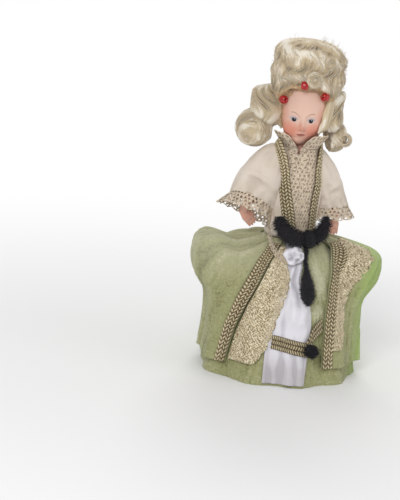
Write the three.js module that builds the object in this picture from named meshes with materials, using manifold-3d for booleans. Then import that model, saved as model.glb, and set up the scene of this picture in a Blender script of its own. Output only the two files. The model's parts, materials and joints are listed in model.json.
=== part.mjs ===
// Celluloid costume doll in court dress: a strung celluloid figure, its wig and its sewn costume.
// Millimetres, +Z up. The doll faces -Y and its own left side is +X; the origin lies on the floor below its neck.
import * as THREE from "three";
import { mergeVertices } from "three/addons/utils/BufferGeometryUtils.js";
import Module from "manifold-3d";

const wasm = await Module();
wasm.setup();

// Clearances and thicknesses
const FIT_GAP = 0.3;
const TURN_GAP = 0.4;
const CELLULOID_WALL = 1;
const CLOTH = 0.8;
const PLUSH = 1.2;
const TRIM = 0.7;

// The figure, from the floor upwards
const SOLE_TO_HIP = 58;
const HIP_TO_WAIST = 15;
const WAIST_TO_SHOULDER = 29;
const SHOULDER_TO_NECK = 11;
const NECK_TO_CHIN = 6.2;
const HEAD_HEIGHT = 40;
const HEAD_WIDTH = 24.6;
const HEAD_DEPTH = 31;
const HEAD_FORWARD = 1;
const HEAD_TURN = -16;
const JAW_FULLNESS = 0.1;
const NECK_RADIUS = 5;
const NECK_SEAT = 4;
const SHOULDER_FLAT = 10.8;
const SHOULDER_BACK = 2;
const HIP_FLAT = 5.6;
const JOINT_RADIUS = 5;

const HIP_Z = SOLE_TO_HIP;
const WAIST_Z = HIP_Z + HIP_TO_WAIST;
const SHOULDER_Z = WAIST_Z + WAIST_TO_SHOULDER;
const NECK_Z = SHOULDER_Z + SHOULDER_TO_NECK;
const CHIN_Z = NECK_Z + NECK_TO_CHIN;
const HEAD_Z = CHIN_Z + HEAD_HEIGHT / 2;

// Limbs: lengths, and for each arm its slant from straight down, outwards, in degrees
const UPPER_ARM = 12;
const FOREARM = 11;
const HAND = 9.5;
const ARM_RADIUS = 4;
const WRIST_RADIUS = 2.2;
const THIGH_RADIUS = 5;
const ANKLE_RADIUS = 2.8;
const SHOE_LENGTH = 14.5;
const SHOE_WIDTH = 7;
const ARM_SLANTS = {
  left: { upper: 34, fore: 10, hand: 0 },
  right: { upper: 40, fore: 26, hand: -48 },
};

// Stringing
const CORD_RADIUS = 0.8;
const KNOT_RADIUS = 1.8;
const WIRE_RADIUS = 0.4;

// Costume
const COAT_EASE = 2.4;
const COAT_FLAT = SHOULDER_FLAT + COAT_EASE;
const SLEEVE_TOP_RADIUS = 9.8;
const CUFF_RADIUS = { left: 7.8, right: 11 };
const CUFF_SLANT = { left: 4, right: 26 };
const CUFF_FLARE = 6;
const CUFF_DEPTH_SHARE = 0.85;
const SLEEVE_REACH = { left: 0.45, right: 0.55 };
const CUFF_LACE = 6.5;
const SCALLOP = 1.4;
const BAND_HEIGHT = 3.6;
const BRAID_WIDTH = 7;
const EDGE_BRAID_WIDTH = 5;
const COLLAR_RISE = 13.5;
const SKIRT_FOLDS = 9;
const FOLD_DEPTH = 1.5;
const PANNIER_REACH = 51.4;
const OVERSKIRT_SHARE = 0.9;

// Hair
const CAP_THICKNESS = 0.9;
const POMPADOUR_HEIGHT = 30;
const POMPADOUR_OVERHANG = 5.9;
const POMPADOUR_HALF_WIDTH = HEAD_WIDTH / 2 + POMPADOUR_OVERHANG;
const BEAD_RADIUS = 2.2;

const rad = THREE.MathUtils.degToRad;
const { lerp, clamp, smoothstep } = THREE.MathUtils;
const vec = (x, y, z) => new THREE.Vector3(x, y, z);
const SIDES = { left: 1, right: -1 };

// Straight-line value between [place, value] stations.
function along(stations, place) {
  const last = stations.length - 1;
  let i = 0;
  while (i < last - 1 && place > stations[i + 1][0]) i++;
  const [from, low] = stations[i];
  const [to, high] = stations[i + 1];
  return lerp(low, high, clamp((place - from) / (to - from), 0, 1));
}

// Even steps from one value to another, both ends included.
function steps(from, to, count) {
  return Array.from({ length: count + 1 }, (_, i) => lerp(from, to, i / count));
}

// Mesh building
function closedGeometry(points, triangles) {
  let volume = 0;
  for (let i = 0; i < triangles.length; i += 3) {
    const [a, b, c] = [0, 1, 2].map((k) => points[triangles[i + k]]);
    volume += a.dot(b.clone().cross(c));
  }
  const geometry = new THREE.BufferGeometry();
  geometry.setAttribute("position", new THREE.Float32BufferAttribute(points.flatMap((p) => p.toArray()), 3));
  geometry.setIndex(volume < 0 ? triangles.slice().reverse() : triangles);
  return geometry;
}

// Merges the doubled points of a stock geometry and drops the triangles that close up.
function weld(geometry) {
  geometry.deleteAttribute("normal");
  geometry.deleteAttribute("uv");
  const merged = mergeVertices(geometry, 1e-4);
  const index = merged.getIndex().array;
  const kept = [];
  for (let i = 0; i < index.length; i += 3) {
    const [a, b, c] = [index[i], index[i + 1], index[i + 2]];
    if (a !== b && b !== c && a !== c) kept.push(a, b, c);
  }
  merged.setIndex(kept);
  return merged;
}

// A skin over rings of equal point count: capped at both ends, or joined end to end as a loop.
function skin(rings, loop = false) {
  const count = rings[0].length;
  const points = rings.flat();
  const triangles = [];
  const joins = loop ? rings.length : rings.length - 1;
  for (let r = 0; r < joins; r++) {
    const next = (r + 1) % rings.length;
    for (let i = 0; i < count; i++) {
      const j = (i + 1) % count;
      const [a, b, c, d] = [r * count + i, r * count + j, next * count + j, next * count + i];
      triangles.push(a, b, c, a, c, d);
    }
  }
  if (!loop) {
    for (const r of [0, rings.length - 1]) {
      const middle = rings[r].reduce((sum, p) => sum.add(p), vec(0, 0, 0)).divideScalar(count);
      const hub = points.push(middle) - 1;
      for (let i = 0; i < count; i++) {
        const pair = [r * count + i, r * count + ((i + 1) % count)];
        if (r === 0) pair.reverse();
        triangles.push(pair[0], pair[1], hub);
      }
    }
  }
  return closedGeometry(points, triangles);
}

// A sheet between an outer and an inner grid of points, closed along its four edges.
function slab(outer, inner) {
  const rows = outer.length;
  const columns = outer[0].length;
  const points = [...outer.flat(), ...inner.flat()];
  const triangles = [];
  const quad = (a, b, c, d) => triangles.push(a, b, c, a, c, d);
  const top = (r, c) => r * columns + c;
  const under = (r, c) => rows * columns + top(r, c);
  for (let r = 0; r < rows - 1; r++) {
    for (let c = 0; c < columns - 1; c++) {
      quad(top(r, c), top(r, c + 1), top(r + 1, c + 1), top(r + 1, c));
      quad(under(r, c), under(r + 1, c), under(r + 1, c + 1), under(r, c + 1));
    }
    quad(top(r, 0), top(r + 1, 0), under(r + 1, 0), under(r, 0));
    quad(top(r + 1, columns - 1), top(r, columns - 1), under(r, columns - 1), under(r + 1, columns - 1));
  }
  for (let c = 0; c < columns - 1; c++) {
    quad(top(0, c + 1), top(0, c), under(0, c), under(0, c + 1));
    quad(top(rows - 1, c), top(rows - 1, c + 1), under(rows - 1, c + 1), under(rows - 1, c));
  }
  return closedGeometry(points, triangles);
}

// The point of a surface, moved out along its own normal.
function lifted(surface, u, v, distance) {
  const tiny = 1e-3;
  const point = surface(u, v);
  const acrossU = surface(u + tiny, v).sub(surface(u - tiny, v));
  const acrossV = surface(u, v + tiny).sub(surface(u, v - tiny));
  const normal = acrossU.cross(acrossV).normalize();
  const outwards = vec(point.x, point.y, 0).normalize().setZ(0.3);
  if (normal.dot(outwards) < 0) normal.negate();
  return point.addScaledVector(normal, distance);
}

// Cloth of a given thickness over a surface, from one height above it to another.
function cloth(surface, us, vs, from, thickness) {
  const grid = (distance) => vs.map((v) => us.map((u) => lifted(surface, u, v, distance)));
  return slab(grid(from + thickness), grid(from));
}

// A level oval ring whose sides can be cut flat.
function oval(z, halfWidth, halfDepth, { flat = Infinity, count = 16, y = 0 } = {}) {
  return Array.from({ length: count }, (_, i) => {
    const angle = (i / count) * 2 * Math.PI;
    return vec(clamp(halfWidth * Math.cos(angle), -flat, flat), y + halfDepth * Math.sin(angle), z);
  });
}

// A round form along a curve through the points, with the radius given at each point.
function sweep(points, radii, { lengths = 12, sides = 10 } = {}) {
  const curve = new THREE.CatmullRomCurve3(points);
  const frames = curve.computeFrenetFrames(lengths);
  const stations = radii.map((r, i) => [i / (radii.length - 1), r]);
  const rings = [];
  for (let k = 0; k <= lengths; k++) {
    const share = k / lengths;
    const centre = curve.getPoint(share);
    const radius = along(stations, share);
    rings.push(Array.from({ length: sides }, (_, i) => {
      const angle = (i / sides) * 2 * Math.PI;
      return centre.clone()
        .addScaledVector(frames.normals[k], radius * Math.cos(angle))
        .addScaledVector(frames.binormals[k], radius * Math.sin(angle));
    }));
  }
  return skin(rings);
}

// A turned form about Z from [radius, height] points.
function turned(profile, segments = 16) {
  const geometry = new THREE.LatheGeometry(profile.map(([r, z]) => new THREE.Vector2(r, z)), segments);
  return weld(geometry.rotateX(Math.PI / 2));
}

function ball(rx, ry, rz, wide = 10, high = 7) {
  return weld(new THREE.SphereGeometry(1, wide, high).rotateX(Math.PI / 2).scale(rx, ry, rz));
}

// A cylinder lying along X, centred on a point.
function crossPin(radius, length, y, z, segments = 10) {
  const pin = new THREE.CylinderGeometry(radius, radius, length, segments).rotateZ(Math.PI / 2);
  return weld(pin.translate(0, y, z));
}

function block(width, depth, height, x, y, z) {
  return weld(new THREE.BoxGeometry(width, depth, height).translate(x, y, z));
}

// Joining and cutting
function solid(geometry) {
  const vertProperties = new Float32Array(geometry.getAttribute("position").array);
  const triVerts = new Uint32Array(geometry.getIndex().array);
  return new wasm.Manifold(new wasm.Mesh({ numProp: 3, vertProperties, triVerts }));
}

function joined(geometries) {
  return geometries.map(solid).reduce((sum, next) => sum.add(next));
}

function without(start, geometries) {
  return geometries.map(solid).reduce((left, next) => left.subtract(next), start);
}

function geometryOf(manifold) {
  const mesh = manifold.getMesh();
  const geometry = new THREE.BufferGeometry();
  geometry.setAttribute("position", new THREE.Float32BufferAttribute(mesh.vertProperties, 3));
  geometry.setIndex(new THREE.Uint32BufferAttribute(mesh.triVerts, 1));
  return geometry;
}

const doll = new THREE.Group();
const headGroup = new THREE.Group();
headGroup.rotation.z = rad(HEAD_TURN);
doll.add(headGroup);

function addPiece(name, geometry, color, roughness = 0.7, parent = doll) {
  const material = new THREE.MeshStandardMaterial({ color, roughness });
  const mesh = new THREE.Mesh(geometry, material);
  mesh.name = name;
  parent.add(mesh);
}

const FLESH = 0xe3b49c;
const ELASTIC = 0xd8cfc0;
const CREAM = 0xe1d4c3;
const GOLD = 0xb49a62;
const ECRU = 0xe4cdaf;
const GREEN = 0xa5b46e;
const SATIN = 0xe6e3ea;
const BLACK = 0x241f26;
const BLOND = 0xd2ba8c;
const RED = 0xb8161c;

// Torso: a hollow shell with flat seats for the arms and the legs and an open neck
const TORSO_OUTLINE = [
  { z: HIP_Z - 8, w: 2.6, d: 3.6 },
  { z: HIP_Z - 5, w: 6, d: 6.2, flat: HIP_FLAT },
  { z: HIP_Z, w: 7.4, d: 7.6, flat: HIP_FLAT },
  { z: HIP_Z + 6, w: 7.4, d: 8.2, flat: HIP_FLAT },
  { z: HIP_Z + 8.5, w: 8.6, d: 8.6 },
  { z: HIP_Z + 11, w: 10, d: 8.8 },
  { z: WAIST_Z, w: 9, d: 7.6 },
  { z: WAIST_Z + 12, w: 10.4, d: 8.5 },
  { z: SHOULDER_Z - 6, w: SHOULDER_FLAT + 0.8, d: 9, flat: SHOULDER_FLAT },
  { z: SHOULDER_Z + 1, w: SHOULDER_FLAT + 1.4, d: 8.6, flat: SHOULDER_FLAT },
  { z: SHOULDER_Z + 5.5, w: SHOULDER_FLAT - 0.6, d: 7.6 },
  { z: NECK_Z - 2.2, w: NECK_RADIUS + 2.6, d: NECK_RADIUS + 2 },
  { z: NECK_Z, w: NECK_RADIUS + TURN_GAP + CELLULOID_WALL, d: NECK_RADIUS + TURN_GAP + CELLULOID_WALL },
];

function torsoShell() {
  const ring = ({ z, w, d, flat = Infinity }, inset, lift) =>
    oval(z + lift, w - inset, d - inset, { flat: flat - inset });
  const outer = TORSO_OUTLINE.map((station) => ring(station, 0, 0));
  const inner = TORSO_OUTLINE.map((station, i) => ring(station, CELLULOID_WALL, i === 0 ? CELLULOID_WALL : 0));
  const shell = solid(skin([...outer, ...inner.reverse()]));
  const hole = CORD_RADIUS + TURN_GAP;
  const across = 4 * SHOULDER_FLAT;
  const holes = [crossPin(hole, across, SHOULDER_BACK, SHOULDER_Z), crossPin(hole, across, 0, HIP_Z)];
  return geometryOf(without(shell, holes));
}
addPiece("torso_shell", torsoShell(), FLESH, 0.45);

// Stringing: elastics with a knot at each end, and the wire hook that pulls the head down
function knottedCord(length) {
  const end = (sign) => steps(0, Math.PI - Math.asin(CORD_RADIUS / KNOT_RADIUS), 4).map((angle) =>
    [KNOT_RADIUS * Math.sin(angle), sign * (length / 2 + KNOT_RADIUS * Math.cos(angle))]);
  return turned([...end(-1), ...end(1).reverse()], 8);
}

const ARM_PIVOT_X = SHOULDER_FLAT + TURN_GAP + 3.5;
const LEG_PIVOT_X = HIP_FLAT + TURN_GAP + 3.1;
const NECK_FOOT_Z = NECK_Z - NECK_SEAT;
const NECK_FLOOR = 2.4;
const NECK_KNOT_Z = NECK_FOOT_Z + NECK_FLOOR + FIT_GAP + KNOT_RADIUS;
const HOOK_EYE_Z = HIP_Z + 11.5;
const LOW_KNOT_Z = HOOK_EYE_Z - WIRE_RADIUS - FIT_GAP - KNOT_RADIUS;

addPiece("arm_elastic",
  knottedCord(2 * ARM_PIVOT_X).rotateY(Math.PI / 2).translate(0, SHOULDER_BACK, SHOULDER_Z), ELASTIC, 0.9);
addPiece("hip_elastic", knottedCord(2 * LEG_PIVOT_X).rotateY(Math.PI / 2).translate(0, 0, HIP_Z), ELASTIC, 0.9);
addPiece("neck_elastic",
  knottedCord(NECK_KNOT_Z - LOW_KNOT_Z).translate(0, 0, (NECK_KNOT_Z + LOW_KNOT_Z) / 2), ELASTIC, 0.9);

function tensionHook() {
  const eye = CORD_RADIUS + FIT_GAP + WIRE_RADIUS;
  const catchRadius = CORD_RADIUS + FIT_GAP + WIRE_RADIUS;
  const shankY = KNOT_RADIUS + FIT_GAP + 2 * WIRE_RADIUS;
  const points = steps(130, 400, 9).map((angle) =>
    vec(eye * Math.cos(rad(angle)), eye * Math.sin(rad(angle)), HOOK_EYE_Z));
  points.push(vec(0.6, shankY, HOOK_EYE_Z - 1.6));
  points.push(vec(0, shankY, HIP_Z + 5));
  for (const angle of steps(20, -200, 6)) {
    points.push(vec(0, catchRadius * Math.cos(rad(angle)), HIP_Z + catchRadius * Math.sin(rad(angle))));
  }
  const wire = new THREE.Shape().absarc(0, 0, WIRE_RADIUS, 0, 2 * Math.PI);
  const path = new THREE.CatmullRomCurve3(points);
  const settings = { steps: 32, curveSegments: 3, extrudePath: path, bevelEnabled: false };
  return weld(new THREE.ExtrudeGeometry(wire, settings));
}
addPiece("tension_hook", tensionHook(), 0x8a8780, 0.3);

// Head: a hollow moulded shell with the face in relief and a neck plug that turns in the torso
// Each feature of the face: [across, height from the middle of the head, lift, spread across, spread in height].
const FACE_SHIFT = -1.3;
const FACE_FEATURES = [
  [FACE_SHIFT + 0.4, -8.9, 2.3, 1.5, 1.4],
  [FACE_SHIFT + 0.2, -5.5, 1.1, 1.2, 2.6],
  [FACE_SHIFT + 4.6, -4.9, -0.9, 2.5, 1.7],
  [FACE_SHIFT - 4.6, -4.9, -0.9, 2.5, 1.7],
  [FACE_SHIFT + 5.8, -10.4, 0.9, 3.1, 3.2],
  [FACE_SHIFT - 5.8, -10.4, 0.9, 3.1, 3.2],
  [FACE_SHIFT - 0.2, -12.3, 0.7, 2.2, 1.3],
  [FACE_SHIFT - 0.5, -16.6, 0.8, 2.8, 2.2],
];

function faceLift(x, height) {
  return FACE_FEATURES.reduce((sum, [fx, fz, lift, sx, sz]) =>
    sum + lift * Math.exp(-(((x - fx) / sx) ** 2) - ((height - fz) / sz) ** 2), 0);
}

// An ellipsoid about the middle of the head, grown from the head's own size.
function headForm(grow, wide = 20, high = 14) {
  return ball(HEAD_WIDTH / 2 + grow, HEAD_DEPTH / 2 + grow, HEAD_HEIGHT / 2 + grow, wide, high)
    .translate(0, -HEAD_FORWARD, HEAD_Z);
}

function headShell() {
  const rings = steps(-86, 86, 21).map((latitude) => steps(-180, 180, 26).slice(1).map((share) => {
    const turn = rad(share) - 0.5 * Math.sin(rad(share));
    const level = Math.cos(rad(latitude));
    const height = (HEAD_HEIGHT / 2) * Math.sin(rad(latitude));
    const front = smoothstep(Math.cos(turn), 0.1, 0.6);
    const cheek = smoothstep(Math.cos(turn), 0.35, 0.75);
    const jaw = 1 + cheek * JAW_FULLNESS * Math.exp(-(((height + 12) / 5) ** 2));
    const x = (HEAD_WIDTH / 2) * level * jaw * Math.sin(turn);
    const y = -HEAD_FORWARD - (HEAD_DEPTH / 2) * level * Math.cos(turn) - front * faceLift(x, height);
    return vec(x, y, HEAD_Z + height);
  }));
  const neck = turned([
    [0, NECK_FOOT_Z],
    [NECK_RADIUS - 1, NECK_FOOT_Z],
    [NECK_RADIUS, NECK_FOOT_Z + 1],
    [NECK_RADIUS, CHIN_Z + 4],
    [0, CHIN_Z + 6],
  ]);
  const bore = NECK_RADIUS - 1.6;
  const boring = turned([
    [0, NECK_FOOT_Z - 1],
    [CORD_RADIUS + TURN_GAP, NECK_FOOT_Z - 1],
    [CORD_RADIUS + TURN_GAP, NECK_FOOT_Z + NECK_FLOOR],
    [bore, NECK_FOOT_Z + NECK_FLOOR],
    [bore, CHIN_Z + 7],
    [0, CHIN_Z + 7],
  ]);
  return geometryOf(without(joined([skin(rings), neck]), [headForm(-CELLULOID_WALL - 0.3, 14, 9), boring]));
}
addPiece("head_shell", headShell(), FLESH, 0.45, headGroup);

// Wig: a gauze cap down to the collar, the tall pompadour, rolled curls at both sides and a roll at the nape
const COLLAR_TOP_Z = NECK_Z + COLLAR_RISE;
const NECKLINE_Z = NECK_Z + 6;
const NECKLINE_RADIUS = NECK_RADIUS + 4.6;
const COLLAR_FLARE = HEAD_DEPTH / 2 - 1.2;

// Radius of the standing collar's inside at a height.
function collarRadius(z) {
  const share = clamp((z - NECKLINE_Z) / (COLLAR_TOP_Z - NECKLINE_Z), 0, 1);
  return lerp(NECKLINE_RADIUS, COLLAR_FLARE, share ** 1.2);
}

// The room that the collar takes when the head turns above it.
function collarRoom() {
  const levels = steps(NECKLINE_Z, COLLAR_TOP_Z, 4);
  const out = TRIM + TURN_GAP;
  const profile = levels.map((z) => [collarRadius(z) + out, z]);
  const top = COLLAR_TOP_Z + TURN_GAP;
  const foot = [[0, NECK_Z - 6], [NECKLINE_RADIUS + out, NECK_Z - 6]];
  const head = [[COLLAR_FLARE + out, top], [0, top]];
  return turned([...foot, ...profile, ...head], 24);
}
const CAP_OUT = FIT_GAP + CAP_THICKNESS;
const HAIR_SEAT = CAP_OUT + FIT_GAP;
const HAIRLINE_Z = HEAD_Z + 11;
const FACE_WINDOW_HALF = HEAD_WIDTH / 2 - 1.7;
const FACE_WINDOW_HALF_HEIGHT = 22.5;

// The opening round the face, as a post along Y that ends in the middle of the head.
function faceWindow(margin) {
  const post = new THREE.CylinderGeometry(1, 1, HEAD_DEPTH, 20).translate(0, -HEAD_DEPTH / 2 - 2, 0);
  post.scale(FACE_WINDOW_HALF + margin, 1, FACE_WINDOW_HALF_HEIGHT + margin);
  return weld(post.translate(FACE_SHIFT / 2, 0, HAIRLINE_Z - FACE_WINDOW_HALF_HEIGHT));
}

function wigCap() {
  const cut = COLLAR_TOP_Z + 1.2;
  const below = block(3 * HEAD_WIDTH, 3 * HEAD_DEPTH, HEAD_HEIGHT, 0, 0, cut - HEAD_HEIGHT / 2);
  return geometryOf(without(solid(headForm(CAP_OUT)), [headForm(FIT_GAP, 24, 16), faceWindow(0), below]));
}
addPiece("wig_cap", wigCap(), 0xc9b48e, 0.9, headGroup);

// Each level of the pompadour: [share of its height, share of its half width, shift back].
const POMPADOUR_LEVELS = [
  [0, 0.87, 0.5],
  [0.15, 0.94, -0.4],
  [0.35, 0.99, -0.6],
  [0.55, 1, 0],
  [0.74, 0.95, 0.8],
  [0.88, 0.77, 1.6],
  [0.96, 0.5, 2.2],
  [1, 0.22, 2.6],
];
const POMPADOUR_FOOT = HEAD_Z + 4.5;
const POMPADOUR_DEPTH_SHARE = 0.95;

function pompadourPoint(turn, level) {
  const width = POMPADOUR_HALF_WIDTH * along(POMPADOUR_LEVELS.map(([h, w]) => [h, w]), level);
  const back = along(POMPADOUR_LEVELS.map(([h, , y]) => [h, y]), level);
  const wave = 1 + 0.025 * Math.cos(5 * turn + 9 * level);
  const z = POMPADOUR_FOOT + POMPADOUR_HEIGHT * level;
  return vec(width * wave * Math.sin(turn), back - POMPADOUR_DEPTH_SHARE * width * wave * Math.cos(turn), z);
}

function pompadour() {
  const around = steps(0, 360, 20).slice(1).map(rad);
  const form = solid(skin(POMPADOUR_LEVELS.map(([level]) => around.map((turn) => pompadourPoint(turn, level)))));
  return geometryOf(without(form, [headForm(HAIR_SEAT), faceWindow(FIT_GAP)]));
}
addPiece("hair_pompadour", pompadour(), BLOND, 0.6, headGroup);

// A rolled curl: a barrel with rounded ends, cut to sit on the cap and clear of its neighbours.
function curl(centre, axis, radius, length, clear = []) {
  const half = axis.normalize().multiplyScalar(length / 2);
  const points = steps(-1, 1, 4).map((share) => centre.clone().addScaledVector(half, share));
  const radii = [0.45, 0.9, 1, 0.9, 0.45].map((share) => share * radius);
  const barrel = sweep(points, radii, { lengths: 6, sides: 10 });
  return without(solid(barrel), [headForm(HAIR_SEAT), ...clear]);
}

// The same curl grown by the fitting gap, for cutting the next one.
function curlRoom(centre, axis, radius, length) {
  return geometryOf(curl(centre, axis, radius + FIT_GAP, length + 2 * FIT_GAP));
}

// The pompadour grown by the fitting gap, for cutting the curls below it.
function pompadourRoom() {
  const around = steps(0, 360, 20).slice(1).map(rad);
  const levels = [-0.012, ...POMPADOUR_LEVELS.slice(1).map(([level]) => level)];
  const grow = 1 + (2 * FIT_GAP) / POMPADOUR_HALF_WIDTH;
  return skin(levels.map((level) => around.map((turn) => {
    const p = pompadourPoint(turn, level);
    return vec(p.x * grow, p.y * grow, p.z);
  })));
}

const TEMPLE = HEAD_WIDTH / 2;
const CURLS = {
  right_upper_curl: [vec(-TEMPLE - 7, 0, HEAD_Z - 1.3), vec(-0.25, 0, 1), 8.4, 22],
  right_lower_curl: [vec(-TEMPLE - 13.2, 0, HEAD_Z - 12.9), vec(0.15, 1, 0.1), 9.4, 20],
  left_upper_curl: [vec(TEMPLE + 2.2, -1, HEAD_Z - 1), vec(0.12, 0, 1), 5.4, 22],
  left_lower_curl: [vec(TEMPLE + 4.6, 5.8, HEAD_Z - 15), vec(-0.1, 0.5, 1), 6.2, 16],
  left_ringlet: [vec(TEMPLE + 10.2, 1.4, HEAD_Z - 15.6), vec(0, 1, 0), 3.7, 8],
  nape_roll: [vec(0, HEAD_DEPTH / 2 + 4.5, HEAD_Z - 9.5), vec(1, 0, 0), 5.6, 26],
};
const curlClearances = [pompadourRoom(), collarRoom()];
for (const [name, [centre, axis, radius, length]] of Object.entries(CURLS)) {
  addPiece(name, geometryOf(curl(centre, axis, radius, length, curlClearances)), BLOND, 0.6, headGroup);
  curlClearances.push(curlRoom(centre, axis, radius, length));
}

// Red glass beads along the hairline: [name, turn from the front in degrees, level on the pompadour].
const BEADS = [
  ["bead_right", -46, 0.02],
  ["bead_centre", -5, 0.28],
  ["bead_left", 36, 0.12],
];
for (const [name, turn, level] of BEADS) {
  const ringProfile = steps(0, 360, 6).map((angle) =>
    [BEAD_RADIUS * 0.62 + BEAD_RADIUS * 0.38 * Math.cos(rad(angle)), BEAD_RADIUS * 0.8 * Math.sin(rad(angle))]);
  const place = lifted(pompadourPoint, rad(turn), level, BEAD_RADIUS + FIT_GAP);
  const bead = turned(ringProfile, 10).rotateY(Math.PI / 2).rotateZ(rad(turn));
  addPiece(name, bead.translate(place.x, place.y, place.z), RED, 0.1, headGroup);
}

// Arms and legs
// A ring across a limb that lies in the plane of X and Z, slanting outwards from straight down.
function limbRing(centre, side, slant, across, deep, count = 10) {
  return Array.from({ length: count }, (_, i) => {
    const angle = (i / count) * 2 * Math.PI;
    const wide = across * Math.cos(angle);
    return vec(
      centre.x + side * wide * Math.cos(slant),
      centre.y + deep * Math.sin(angle),
      centre.z + wide * Math.sin(slant),
    );
  });
}

function downAlong(start, side, slant, length) {
  return vec(start.x + side * length * Math.sin(slant), start.y, start.z - length * Math.cos(slant));
}

function finger(from, to, radius) {
  const points = [from, from.clone().lerp(to, 0.5), to];
  return sweep(points, [radius, radius * 0.95, radius * 0.6], { lengths: 3, sides: 6 });
}

function armJoints(which) {
  const side = SIDES[which];
  const slants = ARM_SLANTS[which];
  const shoulder = vec(side * ARM_PIVOT_X, SHOULDER_BACK, SHOULDER_Z);
  const elbow = downAlong(shoulder, side, rad(slants.upper), UPPER_ARM);
  const wrist = downAlong(elbow, side, rad(slants.fore), FOREARM).setY(SHOULDER_BACK - 2);
  return { side, slants, shoulder, elbow, wrist };
}

function arm(which) {
  const { side, slants, shoulder, elbow, wrist } = armJoints(which);
  const [upper, fore, hand] = [rad(slants.upper), rad(slants.fore), rad(slants.hand)];
  const middle = elbow.clone().lerp(wrist, 0.35);
  const limb = skin([
    limbRing(shoulder, side, upper, ARM_RADIUS + 0.4, ARM_RADIUS + 0.4),
    limbRing(shoulder.clone().lerp(elbow, 0.5), side, upper, ARM_RADIUS, ARM_RADIUS),
    limbRing(elbow, side, (upper + fore) / 2, ARM_RADIUS * 0.85, ARM_RADIUS * 0.85),
    limbRing(middle, side, fore, ARM_RADIUS * 0.82, ARM_RADIUS * 0.82),
    limbRing(wrist, side, (fore + hand) / 2, WRIST_RADIUS, WRIST_RADIUS * 0.85),
  ]);
  const palmAt = (length, across, deep) =>
    limbRing(downAlong(wrist, side, hand, length), side, hand, across, deep);
  const palm = skin([
    palmAt(-0.8, WRIST_RADIUS * 0.7, WRIST_RADIUS * 0.6),
    palmAt(1.2, WRIST_RADIUS, WRIST_RADIUS * 0.7),
    palmAt(HAND * 0.32, WRIST_RADIUS * 1.3, WRIST_RADIUS * 0.68),
    palmAt(HAND * 0.58, WRIST_RADIUS * 1.25, WRIST_RADIUS * 0.5),
  ]);
  const across = vec(side * Math.cos(hand), 0, Math.sin(hand));
  const spot = (length, shift, y) =>
    downAlong(wrist, side, hand, length).addScaledVector(across, shift).add(vec(0, y, 0));
  const fingers = [-1.5, -0.5, 0.5, 1.5].map((place) => {
    const reach = HAND * (Math.abs(place) > 1 ? 0.93 : 1);
    return finger(spot(HAND * 0.45, place * 1.3, 0), spot(reach, place * 1.5, 0.5), 0.82);
  });
  fingers.push(finger(spot(HAND * 0.2, -WRIST_RADIUS, 0), spot(HAND * 0.6, -WRIST_RADIUS * 1.75, -0.5), 0.85));
  const knuckle = ball(JOINT_RADIUS, JOINT_RADIUS, JOINT_RADIUS, 14, 9).translate(...shoulder.toArray());
  const seatX = SHOULDER_FLAT + TURN_GAP;
  const inside = block(40, 40, 40, side * (seatX - 20), shoulder.y, shoulder.z);
  const socket = KNOT_RADIUS + TURN_GAP;
  const pocket = ball(socket, socket, socket, 8, 6).translate(...shoulder.toArray());
  const way = crossPin(CORD_RADIUS + TURN_GAP, ARM_PIVOT_X, shoulder.y, shoulder.z, 8)
    .translate((side * ARM_PIVOT_X) / 2, 0, 0);
  return geometryOf(without(joined([knuckle, limb, palm, ...fingers]), [inside, pocket, way]));
}

function leg(which) {
  const side = SIDES[which];
  const hip = vec(side * LEG_PIVOT_X, 0, HIP_Z);
  // Each level of the leg: [share of the way from hip to sole, radius, forward].
  const levels = [
    [0, THIGH_RADIUS * 0.96, 0],
    [0.14, THIGH_RADIUS, 0.2],
    [0.3, THIGH_RADIUS * 0.9, 0.4],
    [0.44, THIGH_RADIUS * 0.74, 0.5],
    [0.55, THIGH_RADIUS * 0.78, 0],
    [0.7, THIGH_RADIUS * 0.68, -0.3],
    [0.84, ANKLE_RADIUS, -0.4],
    [0.95, ANKLE_RADIUS, -0.4],
  ];
  const limb = skin(levels.map(([share, radius, forward]) =>
    oval(HIP_Z * (1 - share), radius, radius, { count: 10, y: -forward }).map((p) => p.add(vec(hip.x, 0, 0)))));
  const shoe = ball(SHOE_WIDTH / 2, SHOE_LENGTH / 2, 4.8, 14, 9).translate(hip.x, -SHOE_LENGTH * 0.24, 0.9);
  const knuckle = ball(JOINT_RADIUS, JOINT_RADIUS, JOINT_RADIUS, 14, 9).translate(...hip.toArray());
  const floor = block(60, 60, 20, hip.x, 0, -10);
  const inside = block(20, 40, 4 * JOINT_RADIUS, side * (HIP_FLAT + TURN_GAP - 10), 0, HIP_Z);
  const socket = KNOT_RADIUS + TURN_GAP;
  const pocket = ball(socket, socket, socket, 8, 6).translate(...hip.toArray());
  const way = crossPin(CORD_RADIUS + TURN_GAP, LEG_PIVOT_X, 0, HIP_Z, 8).translate(hip.x / 2, 0, 0);
  return geometryOf(without(joined([knuckle, limb, shoe]), [floor, inside, pocket, way]));
}

for (const which of ["left", "right"]) {
  addPiece(`${which}_arm`, arm(which), FLESH, 0.45);
  addPiece(`${which}_leg`, leg(which), FLESH, 0.45);
}

// Coat: fitted body with round armholes
const COAT_OUTLINE = [
  { z: WAIST_Z, w: COAT_FLAT - 0.2, d: 10.6 },
  { z: WAIST_Z + 10, w: COAT_FLAT - 0.2, d: 11 },
  { z: SHOULDER_Z - 8, w: COAT_FLAT + 0.6, d: 11.4 },
  { z: SHOULDER_Z + 1, w: COAT_FLAT + 1, d: 11 },
  { z: SHOULDER_Z + 6, w: COAT_FLAT + 0.4, d: 10.4 },
  { z: NECK_Z - 0.6, w: NECKLINE_RADIUS + 1.6, d: NECKLINE_RADIUS + 0.4 },
  { z: NECK_Z + 2, w: NECKLINE_RADIUS + 0.5, d: NECKLINE_RADIUS - 0.2 },
  { z: NECKLINE_Z, w: NECKLINE_RADIUS, d: NECKLINE_RADIUS },
];
const NOTCH_DEPTH = 3.2;
const NOTCH_REACH = 28;
const NOTCH_TURN = -22;

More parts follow.
